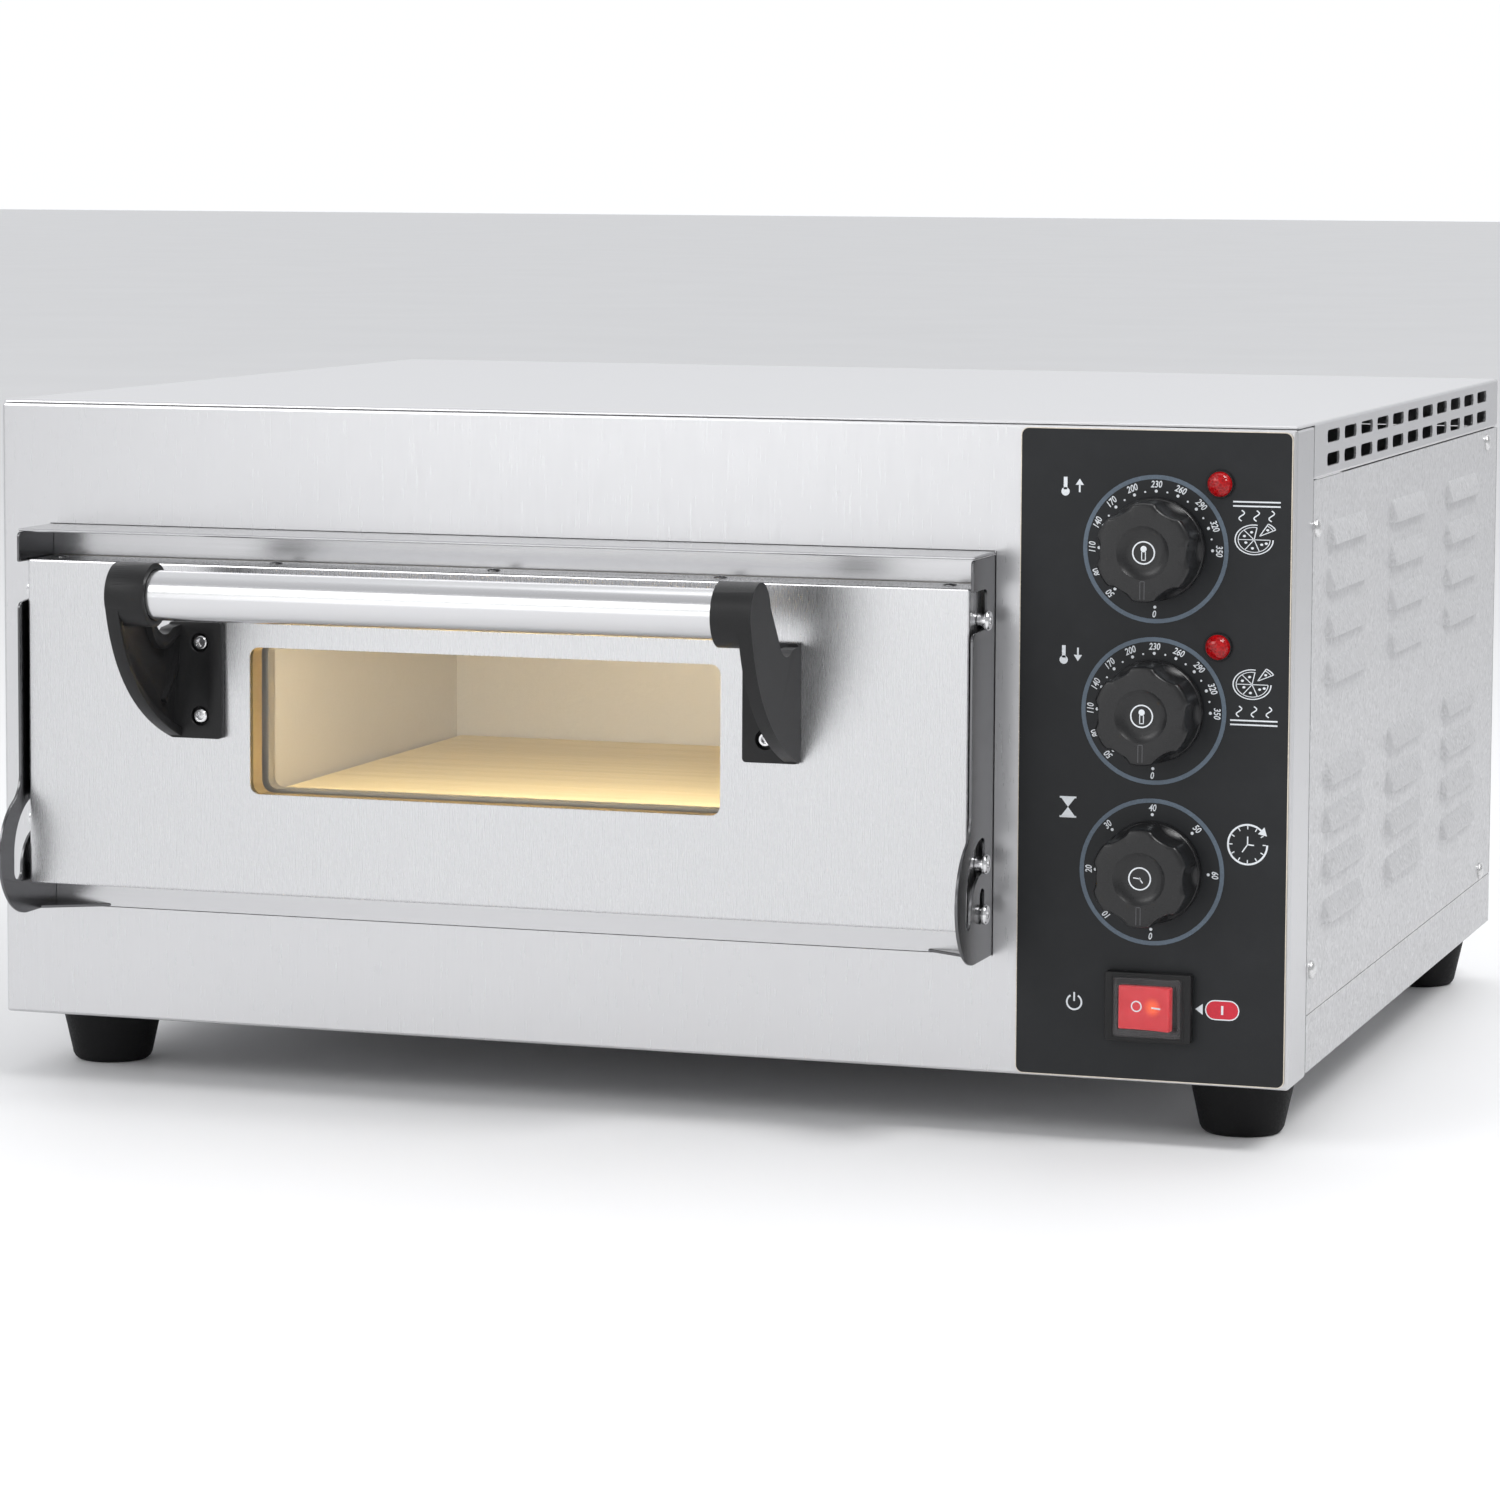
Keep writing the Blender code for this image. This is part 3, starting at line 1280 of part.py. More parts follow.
def glazing():
    """Two panes with the heatproof frame that spaces them."""
    outer_front = -DOOR_FACE + THIN + GAP
    outer_back = outer_front + GLASS
    lip_front = -DOOR_BACK - THIN / 2 - INNER_WINDOW_DEPTH
    inner_back = lip_front - GAP
    inner_front = inner_back - GLASS
    lap = window_outline(GLASS_LAP, 0.003)
    prism("outer_glass", lap, "XZ", FRONT + outer_front, GLASS, GLAZING)
    prism("inner_glass", lap, "XZ", FRONT + inner_front, GLASS, GLAZING)
    spacer = prism(
        "glass_spacer",
        lap,
        "XZ",
        FRONT + outer_back + GAP,
        inner_front - outer_back - 2 * GAP,
        GASKET,
    )
    hole = prism(
        "spacer_hole",
        window_outline(0.001, WINDOW_CORNER + 0.001),
        "XZ",
        FRONT + outer_back - GLASS / 2,
        inner_front - outer_back + GLASS,
        None,
        cutters,
    )
    cut_all(spacer, hole)
    return [bpy.data.objects[name] for name in ("outer_glass", "inner_glass", "glass_spacer")]


def stud(name, side, z):
    """A shouldered stud on the door's side. It turns or slides in the hinge plate."""
    start = DOOR_WIDTH / 2 + GAP
    profile = [
        (0.0, STUD_SHANK + STUD_HEAD - 0.0009),
        (0.0018, STUD_SHANK + STUD_HEAD - 0.0009),
        (0.0018, STUD_SHANK + STUD_HEAD),
        (STUD_HEAD_RADIUS - 0.0004, STUD_SHANK + STUD_HEAD),
        (STUD_HEAD_RADIUS, STUD_SHANK + STUD_HEAD - 0.0004),
        (STUD_HEAD_RADIUS, STUD_SHANK),
        (STUD_RADIUS, STUD_SHANK),
        (STUD_RADIUS, 0.0),
        (0.0, 0.0),
    ]
    made = turned(name, Vector(), profile, POLISHED, "X", steps=20)
    turn = AXES["X"] if side > 0 else Matrix.Rotation(math.radians(-90), 4, "Y")
    made.matrix_world = Matrix.Translation(at(DOOR_X + side * start, -STUD_OUT, z)) @ turn
    return made


def bracket_outline(inset=0.0):
    """The bracket's side view: a barrel at the top and a curved front running down to the foot."""
    barrel = (FRONT - TUBE_OUT, FOOT_HEIGHT + TUBE_Z)
    radius = BARREL_RADIUS - inset
    face = FRONT - DOOR_FACE - GAP - BRACKET_FOOT / 2 + inset / 2
    base = FOOT_HEIGHT + BRACKET_BASE + inset
    over = arc(barrel, radius, 10, 180, 15)
    front_start = (barrel[0] - radius, barrel[1])
    front_end = (face, base)
    pull = (barrel[0] - radius + BRACKET_PULL, base + BRACKET_BELLY)
    curve = []
    for i in range(1, 12):
        t = i / 12
        curve.append(
            tuple(
                (1 - t) ** 2 * front_start[k] + 2 * t * (1 - t) * pull[k] + t * t * front_end[k]
                for k in range(2)
            )
        )
    neck_top = FOOT_HEIGHT + BRACKET_FOOT_TOP - inset
    middle = (FRONT - DOOR_FACE - THROAT_OUT, neck_top + THROAT_RISE)
    throat = arc(middle, THROAT_RADIUS + inset, 205, 305, 7)
    return over + curve + [front_end, (face, neck_top - 0.001)] + list(reversed(throat))


def bracket(name, side):
    """A moulded handle bracket. Its outer face is flat; its inner side is hollowed."""
    outer = HANDLE_X + side * HANDLE_SPAN / 2
    web_inner = outer - side * BRACKET_WEB
    start = min(outer, web_inner)
    web = prism(name, bracket_outline(), "YZ", start, BRACKET_WEB, BLACK_PLASTIC)
    pocket_start = web_inner - THIN if side > 0 else web_inner - BRACKET_POCKET
    pocket = prism(
        name + "_pocket",
        bracket_outline(BRACKET_RIM),
        "YZ",
        pocket_start,
        BRACKET_POCKET + THIN,
        None,
        cutters,
    )
    barrel_start = min(outer, outer - side * BARREL_LENGTH)
    middle = at(barrel_start, -TUBE_OUT, TUBE_Z)
    barrel = rod(name + "_barrel", middle, BARREL_LENGTH, BARREL_RADIUS, "X", None, cutters, 40)
    bore_x = outer - side * BARREL_END
    bore_start = min(bore_x, bore_x - side * BARREL_LENGTH)
    bore = rod(
        name + "_bore",
        at(bore_start, -TUBE_OUT, TUBE_Z),
        BARREL_LENGTH,
        TUBE_RADIUS + GAP,
        "X",
        None,
        cutters,
        40,
    )
    foot_inner = outer - side * BRACKET_FOOT_WIDTH
    foot_low = at(min(outer, foot_inner), -DOOR_FACE - GAP - BRACKET_FOOT, BRACKET_BASE)
    foot_high = at(max(outer, foot_inner), -DOOR_FACE - GAP, BRACKET_FOOT_TOP)
    flange = box(name + "_foot", foot_low, foot_high, None, cutters)
    bevel(flange, 0.001, 1)
    boolean(web, pocket)
    join_all(web, barrel, flange)
    seats = []
    for z in BRACKET_SCREW_Z:
        seat = rod_mesh(BRACKET_SCREW_RADIUS + 0.0008, 2 * BRACKET_SCREW_HEAD, "Y", 20)
        x = foot_inner + side * BRACKET_SCREW_INSET
        seats.append((seat, at(x, -DOOR_FACE - GAP - BRACKET_FOOT, z)))
    return cut_all(web, bore, joined_cutter(name + "_seats", seats))


def bracket_screw(name, side, z):
    """A socket-head screw in the bracket's foot."""
    outer = HANDLE_X + side * HANDLE_SPAN / 2
    x = outer - side * (BRACKET_FOOT_WIDTH - BRACKET_SCREW_INSET)
    seat = -DOOR_FACE - GAP - BRACKET_FOOT + BRACKET_SCREW_HEAD
    head = BRACKET_SCREW_HEAD - GAP
    socket = 0.0016
    profile = [
        (0.0, head - 0.0016),
        (socket, head - 0.0016),
        (socket, head),
        (BRACKET_SCREW_RADIUS - 0.0004, head),
        (BRACKET_SCREW_RADIUS, head - 0.0004),
        (BRACKET_SCREW_RADIUS, 0.0),
        (0.0, 0.0),
    ]
    made = turned(name, Vector(), profile, POLISHED, steps=18)
    place = Matrix.Translation(at(x, seat - GAP, z))
    made.matrix_world = place @ Matrix.Rotation(math.radians(90), 4, "X")
    return made


def handle_tube():
    """The aluminium grip between the brackets."""
    reach = HANDLE_SPAN / 2 - BARREL_END - GAP
    start = at(HANDLE_X - reach, -TUBE_OUT, TUBE_Z)
    tube = smooth(rod("handle_tube", start, 2 * reach, TUBE_RADIUS, "X", ALUMINIUM, sides=40))
    bore_start = start - Vector((THIN, 0, 0))
    bore_length = 2 * (reach + THIN)
    bore = rod(
        "tube_bore", bore_start, bore_length, TUBE_RADIUS - TUBE_WALL, "X", None, cutters, 40
    )
    return cut_all(tube, bore)


# ---------------------------------------------------------------- the whole oven


def build_cabinet():
    front_panel()
    frame_plate()
    hood()
    cheek("hinge_plate_left", -1)
    cheek("hinge_plate_right", 1)
    top_cover()
    side_panel("side_panel_left", -1)
    side_panel("side_panel_right", 1)
    base_tray()
    rear_panel()
    feet()
    gland()
    terminal_block()


def build_chamber():
    liner()
    blanket()
    partition()
    stone()
    rail("stone_rail_left", -1)
    rail("stone_rail_right", 1)
    element("upper_heating_element", UPPER_ELEMENT_Z)
    element("lower_heating_element", LOWER_ELEMENT_Z)


def build_controls():
    overlay()
    for index, label in enumerate(("top_heat", "bottom_heat", "timer")):
        knob(f"{label}_knob", index)
        shaft(f"{label}_shaft", index)
    regulator("top_thermostat", 0)
    regulator("bottom_thermostat", 1)
    timer()
    sensing_bulb("top_sensing_bulb", 0, UPPER_BULB)
    sensing_bulb("bottom_sensing_bulb", 1, LOWER_BULB)
    lamp("top_heat_lamp", 0)
    lamp("bottom_heat_lamp", 1)
    switch()


def build_door():
    on_door(door_skin(), door_liner(), *glazing(), handle_tube())
    for side, label in ((-1, "left"), (1, "right")):
        on_door(bracket(f"handle_bracket_{label}", side))
        for place, z in zip(("lower", "upper"), BRACKET_SCREW_Z):
            on_door(bracket_screw(f"bracket_screw_{label}_{place}", side, z))
        for role, z in (("hinge", HINGE_Z), ("guide", GUIDE_Z), ("latch", LATCH_Z)):
            on_door(stud(f"{role}_stud_{label}", side, z))


build_cabinet()
build_chamber()
build_controls()
build_door()
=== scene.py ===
"""The look of the countertop pizza oven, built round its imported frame.

Lengths here are in millimetres: x from the cabinet's middle, y behind the front panel's face and z above
the cabinet's base. at() turns them into the frame's metres.
"""

import math

import bmesh
import bpy
from mathutils import Matrix, Vector


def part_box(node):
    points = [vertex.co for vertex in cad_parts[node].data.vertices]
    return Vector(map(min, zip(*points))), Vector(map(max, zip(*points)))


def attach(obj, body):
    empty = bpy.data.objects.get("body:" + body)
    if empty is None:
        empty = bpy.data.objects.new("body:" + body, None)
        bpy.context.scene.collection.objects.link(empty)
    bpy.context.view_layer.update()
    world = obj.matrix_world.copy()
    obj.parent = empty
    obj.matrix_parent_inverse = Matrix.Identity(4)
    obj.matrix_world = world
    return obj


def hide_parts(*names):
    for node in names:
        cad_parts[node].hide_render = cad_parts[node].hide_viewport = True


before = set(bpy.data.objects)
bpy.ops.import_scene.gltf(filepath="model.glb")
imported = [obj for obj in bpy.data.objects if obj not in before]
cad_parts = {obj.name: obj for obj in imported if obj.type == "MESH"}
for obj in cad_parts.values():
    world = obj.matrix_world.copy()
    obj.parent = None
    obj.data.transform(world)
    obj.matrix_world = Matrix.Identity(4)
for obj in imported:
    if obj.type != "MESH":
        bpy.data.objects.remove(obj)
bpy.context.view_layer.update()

MM = 0.001
panel_low, panel_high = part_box("front_panel")
FRONT, BASE = panel_low.y, panel_low.z
HALF_WIDTH = panel_high.x / MM
BODY_HEIGHT = (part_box("top_cover")[1].z - BASE) / MM
BODY_DEPTH = (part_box("top_cover")[1].y - FRONT) / MM
DOOR_MIDDLE = sum(corner.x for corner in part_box("door_skin")) / 2 / MM
FILM_FACE = (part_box("control_overlay")[0].y - FRONT) / MM

DIAL_X = 223.7
DIAL_Z = (213.8, 149.4, 85.0)
DIALS = ("top_heat", "bottom_heat", "timer")


def at(x, y, z):
    return Vector((x * MM, FRONT + y * MM, BASE + z * MM))


# ---------------------------------------------------------------- materials


class Look:
    """A Principled material with short ways to drive its colour, roughness and bump."""

    def __init__(self, name, colour, roughness, metallic=0.0, **sockets):
        self.material = bpy.data.materials.new(name)
        self.material.use_nodes = True
        self.tree = self.material.node_tree
        self.shader = self.tree.nodes["Principled BSDF"]
        self.colour = colour
        self.set("Base Color", (*colour, 1.0))
        self.set("Roughness", roughness)
        self.set("Metallic", metallic)
        for socket, value in sockets.items():
            self.set(socket.replace("_", " "), value)

    def set(self, socket, value):
        self.shader.inputs[socket].default_value = value

    def node(self, kind, **values):
        made = self.tree.nodes.new(kind)
        for key, value in values.items():
            setattr(made, key, value)
        return made

    def link(self, source, target):
        self.tree.links.new(source, target)

    def noise(self, stretch, detail=2.0, rough=0.5):
        """Noise whose grain size along each axis is one over stretch, in metres."""
        coordinates = self.node("ShaderNodeTexCoord")
        mapping = self.node("ShaderNodeMapping")
        mapping.inputs["Scale"].default_value = stretch
        texture = self.node("ShaderNodeTexNoise")
        texture.inputs["Scale"].default_value = 1.0
        texture.inputs["Detail"].default_value = detail
        texture.inputs["Roughness"].default_value = rough
        self.link(coordinates.outputs["Object"], mapping.inputs["Vector"])
        self.link(mapping.outputs["Vector"], texture.inputs["Vector"])
        return texture.outputs["Fac"]

    def span(self, source, low, high, from_low=0.3, from_high=0.7):
        made = self.node("ShaderNodeMapRange")
        made.inputs["From Min"].default_value = from_low
        made.inputs["From Max"].default_value = from_high
        made.inputs["To Min"].default_value = low
        made.inputs["To Max"].default_value = high
        self.link(source, made.inputs["Value"])
        return made.outputs["Result"]

    def tint(self, source, other, low=0.3, high=0.7):
        """Mixes the base colour towards another colour by a source."""
        mix = self.node("ShaderNodeMix", data_type="RGBA")
        before = self.shader.inputs["Base Color"]
        if before.is_linked:
            self.link(before.links[0].from_socket, mix.inputs["A"])
        else:
            mix.inputs["A"].default_value = (*self.colour, 1.0)
        mix.inputs["B"].default_value = (*other, 1.0)
        self.link(self.span(source, 0.0, 1.0, low, high), mix.inputs["Factor"])
        self.link(mix.outputs["Result"], before)
        return self

    def vary_roughness(self, source, low, high):
        self.link(self.span(source, low, high), self.shader.inputs["Roughness"])
        return self

    def bump(self, source, height, strength=1.0):
        """A bump whose full height is given in metres."""
        made = self.node("ShaderNodeBump")
        made.inputs["Strength"].default_value = strength
        made.inputs["Distance"].default_value = height
        before = self.shader.inputs["Normal"]
        if before.is_linked:
            self.link(before.links[0].from_socket, made.inputs["Normal"])
        self.link(source, made.inputs["Height"])
        self.link(made.outputs["Normal"], before)
        return self

    def along(self, amount):
        """Blurs reflections sideways, as upright brushing does."""
        tangent = self.node("ShaderNodeTangent", direction_type="RADIAL", axis="Z")
        self.set("Anisotropic", amount)
        self.link(tangent.outputs["Tangent"], self.shader.inputs["Tangent"])
        return self


def brushed(name, colour, roughness, grain, smear=0.0, contrast=0.06, height=4e-6):
    """Sheet steel with directional grain. grain is the stretch of the fine lines on each axis."""
    look = Look(name, colour, roughness, 1.0)
    fine = look.noise(grain, 3.0, 0.6)
    coarse = look.noise(tuple(value * 0.22 for value in grain), 2.0, 0.5)
    cloud = look.noise((5.0, 5.0, 3.5), 2.0, 0.5)
    look.tint(fine, tuple(c * (1 - contrast) for c in colour))
    look.tint(coarse, tuple(c * (1 - 0.3 * contrast) for c in colour))
    look.tint(cloud, tuple(c * (1 - 0.8 * contrast) for c in colour))
    look.vary_roughness(fine, roughness * 0.93, roughness * 1.1)
    look.bump(fine, height)
    if smear:
        look.along(smear)
    return look.material


def speckled(name, colour, roughness, size, contrast=0.10, height=1.2e-5, metallic=1.0):
    """Fine granular sheet, as rolled galvanised steel."""
    look = Look(name, colour, roughness, metallic)
    grain = look.noise((size, size, size), 3.0, 0.65)
    flakes = look.noise((size * 0.35,) * 3, 2.0, 0.5)
    look.tint(grain, tuple(c * (1 - contrast) for c in colour), 0.35, 0.65)
    look.tint(flakes, tuple(c * (1 - 0.5 * contrast) for c in colour), 0.4, 0.65)
    look.vary_roughness(grain, roughness * 0.8, roughness * 1.25)
    look.bump(grain, height)
    return look.material


def plastic(name, colour, roughness, size=2200.0, height=1.5e-5, dust=0.25, **sockets):
    """Moulded plastic with a fine spark-eroded texture and a little dust."""
    look = Look(name, colour, roughness, 0.0, **sockets)
    pits = look.noise((size,) * 3, 2.0, 0.6)
    patches = look.noise((60.0,) * 3, 3.0, 0.6)
    look.tint(pits, tuple(c * (1 + 1.6 * dust) for c in colour), 0.5, 0.75)
    look.tint(patches, tuple(c * (1 + dust) for c in colour), 0.45, 0.75)
    look.vary_roughness(pits, roughness * 0.85, roughness * 1.2)
    look.bump(pits, height)
    return look.material


def glassy(name, colour, alpha, roughness=0.02, **sockets):
    look = Look(name, colour, roughness, 0.0, Alpha=alpha, **sockets)
    smears = look.noise((22.0, 22.0, 9.0), 3.0, 0.6)
    look.vary_roughness(smears, roughness, roughness * 3)
    return look.material


UPRIGHT = (1700.0, 1700.0, 70.0)
SIDEWAYS = (9.0, 1500.0, 1500.0)

steel_front = brushed("front_steel", (0.61, 0.61, 0.62), 0.29, UPRIGHT, 0.5, 0.035, 1.2e-6)
steel_door = brushed("door_steel", (0.61, 0.61, 0.62), 0.27, UPRIGHT, 0.5, 0.035, 1.2e-6)
steel_top = speckled("top_steel", (0.60, 0.60, 0.61), 0.34, 1500.0, 0.05, 4e-6)
steel_side = speckled("side_steel", (0.64, 0.64, 0.65), 0.42, 520.0, 0.26, 3.0e-5, 0.6)
steel_plain = speckled("plain_steel", (0.36, 0.36, 0.37), 0.45, 900.0, 0.10)
polished = brushed("polished_steel", (0.56, 0.56, 0.57), 0.24, SIDEWAYS, 0.0, 0.05, 1e-6)
# Near black: painted shade on the hinge cheeks, which are steel like the polished hood and stand in the gap
# beside the door.
hinge_steel_painted_shade = brushed("hinge_steel_painted_shade", (0.15, 0.15, 0.155), 0.22, UPRIGHT, 0.3, 0.10, 3e-6)
stud_steel = speckled("stud_steel", (0.72, 0.72, 0.73), 0.16, 1800.0, 0.05, 2e-6)
screw_steel = speckled("screw_steel", (0.70, 0.70, 0.70), 0.26, 1500.0, 0.08, 3e-6)
bright_tube = brushed("bright_tube", (0.66, 0.66, 0.67), 0.22, SIDEWAYS, 0.0, 0.05, 3e-6)
liner_steel = speckled("chamber_steel", (0.60, 0.55, 0.455), 0.45, 500.0, 0.07, 8e-6, 0.35)
black_moulded = plastic("black_moulding", (0.009, 0.009, 0.0095), 0.42, dust=0.4, Specular_IOR_Level=0.3)
knob_black = plastic(
    "knob_black", (0.0075, 0.0075, 0.008), 0.32, 1700.0, 3.0e-5, 0.5, Specular_IOR_Level=0.45
)
film_black = plastic(
    "overlay_film", (0.0105, 0.0115, 0.0130), 0.46, 2600.0, 6e-6, 0.3, Specular_IOR_Level=0.3
)
film_edge = plastic("overlay_edge", (0.62, 0.56, 0.47), 0.5, 900.0)
# Grey for the raised edges of the knobs' pointer groove: a painted highlight on the black moulding.
pointer_highlight = plastic("pointer_highlight", (0.075, 0.075, 0.08), 0.5, 1700.0)
ring_blue = plastic("dial_ring", (0.085, 0.115, 0.150), 0.5, 1500.0)
ink_white = plastic("white_ink", (0.72, 0.75, 0.78), 0.6, 1800.0, 4e-6, 0.08)
ink_red = plastic("red_ink", (0.52, 0.012, 0.03), 0.5, 1800.0)
rubber = plastic("foot_rubber", (0.005, 0.005, 0.0055), 0.62, 900.0, 2.5e-5, 0.5, Specular_IOR_Level=0.2)
gasket_gold = speckled("spacer_gold", (0.66, 0.44, 0.14), 0.4, 700.0, 0.10, 1e-5, 0.25)
wool = speckled("ceramic_wool", (0.82, 0.81, 0.77), 0.95, 400.0, 0.15, 3e-4, 0.0)
sheath = speckled("element_sheath", (0.15, 0.14, 0.135), 0.5, 700.0, 0.3, 1e-5, 0.8)
porcelain = speckled("porcelain", (0.86, 0.84, 0.78), 0.25, 300.0, 0.04, 4e-6, 0.0)
brass = speckled("brass", (0.72, 0.53, 0.25), 0.3, 900.0, 0.12, 4e-6)
glass_clear = glassy("window_glass", (0.78, 0.76, 0.70), 0.05, Specular_IOR_Level=0.22)
cap_clear = glassy("cap_vinyl", (0.80, 0.76, 0.78), 0.03, 0.04)


def stone_look():
    """Fired stone: golden, with faint bands from the press and open pores."""
    look = Look("fired_stone", (0.86, 0.69, 0.37), 0.85)
    bands = look.noise((3.0, 160.0, 60.0), 3.0, 0.5)
    pores = look.noise((900.0,) * 3, 4.0, 0.7)
    look.tint(bands, (0.76, 0.60, 0.32), 0.4, 0.7)
    look.tint(pores, (0.62, 0.46, 0.26), 0.55, 0.8)
    look.bump(pores, 1.5e-4)
    return look.material


def lens_look():
    """A red lens whose inside is moulded into small prisms, with a weak painted glow."""
    look = Look("red_lens", (0.22, 0.0, 0.002), 0.08)
    coordinates = look.node("ShaderNodeTexCoord")
    cells = look.node("ShaderNodeTexVoronoi")
    cells.inputs["Scale"].default_value = 900.0
    look.link(coordinates.outputs["Object"], cells.inputs["Vector"])
    look.tint(cells.outputs["Distance"], (0.40, 0.004, 0.006), 0.25, 0.75)
    look.bump(cells.outputs["Distance"], 2e-4)
    # Painted glow: a weak red emission, though the lamp is not lit.
    look.set("Emission Color", (0.8, 0.0, 0.0, 1.0))
    look.set("Emission Strength", 0.04)
    look.set("Specular IOR Level", 0.25)
    look.set("Coat Weight", 0.3)
    look.set("Coat Roughness", 0.03)
    return look.material


def rocker_look():
    """Translucent red plastic; its emission is a painted glow, dim red all over and orange near the on end,
    with the switch off.
    """
    look = Look("red_rocker", (0.52, 0.010, 0.018), 0.30, Specular_IOR_Level=0.3)
    cloud = look.noise((260.0,) * 3, 2.0, 0.6)
    look.tint(cloud, (0.62, 0.025, 0.035), 0.35, 0.7)
    # Painted glow: the emission turns orange within a few millimetres of this point at the on end.
    glow = look.node("ShaderNodeVectorMath", operation="DISTANCE")
    coordinates = look.node("ShaderNodeTexCoord")
    glow.inputs[1].default_value = at(DIAL_X + 2.6, -7.0, 31.6)
    look.link(coordinates.outputs["Object"], glow.inputs[0])
    near = look.span(glow.outputs["Value"], 1.0, 0.0, 0.0008, 0.0042)
    mix = look.node("ShaderNodeMix", data_type="RGBA")
    mix.inputs["A"].default_value = (0.16, 0.003, 0.005, 1.0)
    mix.inputs["B"].default_value = (1.0, 0.22, 0.02, 1.0)
    look.link(near, mix.inputs["Factor"])
    look.link(mix.outputs["Result"], look.shader.inputs["Emission Color"])
    look.set("Emission Strength", 0.6)
    look.bump(cloud, 1e-5)
    return look.material


stone = stone_look()
red_lens = lens_look()
red_rocker = rocker_look()


# ---------------------------------------------------------------- mesh tools


def mesh_of(build):
    bm = bmesh.new()
    build(bm)
    bmesh.ops.recalc_face_normals(bm, faces=bm.faces[:])
    mesh = bpy.data.meshes.new("shape")
    bm.to_mesh(mesh)
    bm.free()
    return mesh


def merged(meshes):
    def build(bm):
        for mesh in meshes:
            bm.from_mesh(mesh)

    return mesh_of(build)


def arc(middle, radius, first, last, count):
    angles = [math.radians(first + (last - first) * i / (count - 1)) for i in range(count)]
    return [(middle[0] + radius * math.cos(t), middle[1] + radius * math.sin(t)) for t in angles]


def rounded(low_a, low_b, high_a, high_b, radius, count=6):
    points = []
    corners = (
        (high_a - radius, high_b - radius),
        (low_a + radius, high_b - radius),
        (low_a + radius, low_b + radius),
        (high_a - radius, low_b + radius),
    )
    for i, corner in enumerate(corners):
        points += arc(corner, radius, 90 * i, 90 * i + 90, count)
    return points


def slab(outline, plane, start, thickness):
    """A flat outline with thickness along the third axis."""
    place = {
        "XZ": lambda a, b, t: at(a, t, b),
        "YZ": lambda a, b, t: at(t, a, b),
        "XY": lambda a, b, t: at(a, b, t),
    }[plane]

    def build(bm):
        near = [bm.verts.new(place(a, b, start)) for a, b in outline]
        far = [bm.verts.new(place(a, b, start + thickness)) for a, b in outline]
        bm.faces.new(near)
        bm.faces.new(far)
        for i in range(len(near)):
            j = (i + 1) % len(near)
            bm.faces.new((near[i], near[j], far[j], far[i]))

    return mesh_of(build)


def block(low, high):
    outline = [(low[0], low[2]), (high[0], low[2]), (high[0], high[2]), (low[0], high[2])]
    return slab(outline, "XZ", low[1], high[1] - low[1])


FACING = {
    "out": Matrix.Rotation(math.radians(90), 4, "X"),
    "back": Matrix.Rotation(math.radians(-90), 4, "X"),
    "right": Matrix.Rotation(math.radians(90), 4, "Y"),
    "left": Matrix.Rotation(math.radians(-90), 4, "Y"),
    "up": Matrix.Identity(4),
    "down": Matrix.Rotation(math.radians(180), 4, "X"),
}


def lathe(profile, place, facing="out", steps=64, shape=None):
    """A turned surface. profile is (radius, height); shape may change a radius by angle and height."""

    def build(bm):
        rings = []
        for radius, height in profile:
            if radius == 0:
                rings.append([bm.verts.new((0, 0, height * MM))])
                continue
            ring = []
            for i in range(steps):
                angle = 2 * math.pi * i / steps
                r = radius if shape is None else shape(radius, height, angle)
                ring.append(bm.verts.new(Vector((r * math.cos(angle), r * math.sin(angle), height)) * MM))
            rings.append(ring)
        for one, two in zip(rings, rings[1:]):
            for i in range(steps):
                j = (i + 1) % steps
                if len(one) == 1 and len(two) == 1:
                    continue
                if len(one) == 1:
                    bm.faces.new((one[0], two[i], two[j]))
                elif len(two) == 1:
                    bm.faces.new((one[i], two[0], one[j]))
                else:
                    bm.faces.new((one[i], two[i], two[j], one[j]))

    mesh = mesh_of(build)
    mesh.transform(Matrix.Translation(place) @ FACING[facing])
    return mesh


def scratch(mesh):
    made = bpy.data.objects.new("scratch", mesh)
    bpy.context.scene.collection.objects.link(made)
    return made


def baked(made, *helpers):
    graph = bpy.context.evaluated_depsgraph_get()
    mesh = bpy.data.meshes.new_from_object(made.evaluated_get(graph))
    for gone in (made, *helpers):
        bpy.data.objects.remove(gone, do_unlink=True)
    return mesh


def combine(base, others, operation="DIFFERENCE"):
    made = scratch(base)
    helpers = [scratch(other) for other in others]
    for helper in helpers:
        step = made.modifiers.new("step", "BOOLEAN")
        step.operation = operation
        step.object = helper
    return baked(made, *helpers)


def eased(mesh, width, segments=2, angle=35):
    """Rounds a mesh's sharp edges by a width in millimetres."""
    made = scratch(mesh)
    edge = made.modifiers.new("edge", "BEVEL")
    edge.width = width * MM
    edge.segments = segments
    edge.limit_method = "ANGLE"
    edge.angle_limit = math.radians(angle)
    edge.use_clamp_overlap = True
    return baked(made)


def piece(name, mesh, look, body, replaces=(), angle=35):
    made = bpy.data.objects.new(name, mesh)
    bpy.context.scene.collection.objects.link(made)
    mesh.materials.clear()
    mesh.materials.append(look)
    mesh.shade_smooth()
    mesh.set_sharp_from_angle(angle=math.radians(angle))
    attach(made, body)
    if replaces:
        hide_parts(*replaces)
    return made


def dress(look, *nodes):
    """Gives kept CAD nodes their material."""
    for name in nodes:
        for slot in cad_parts[name].material_slots:
            slot.material = look


# ---------------------------------------------------------------- kept sheet metal and inner pieces

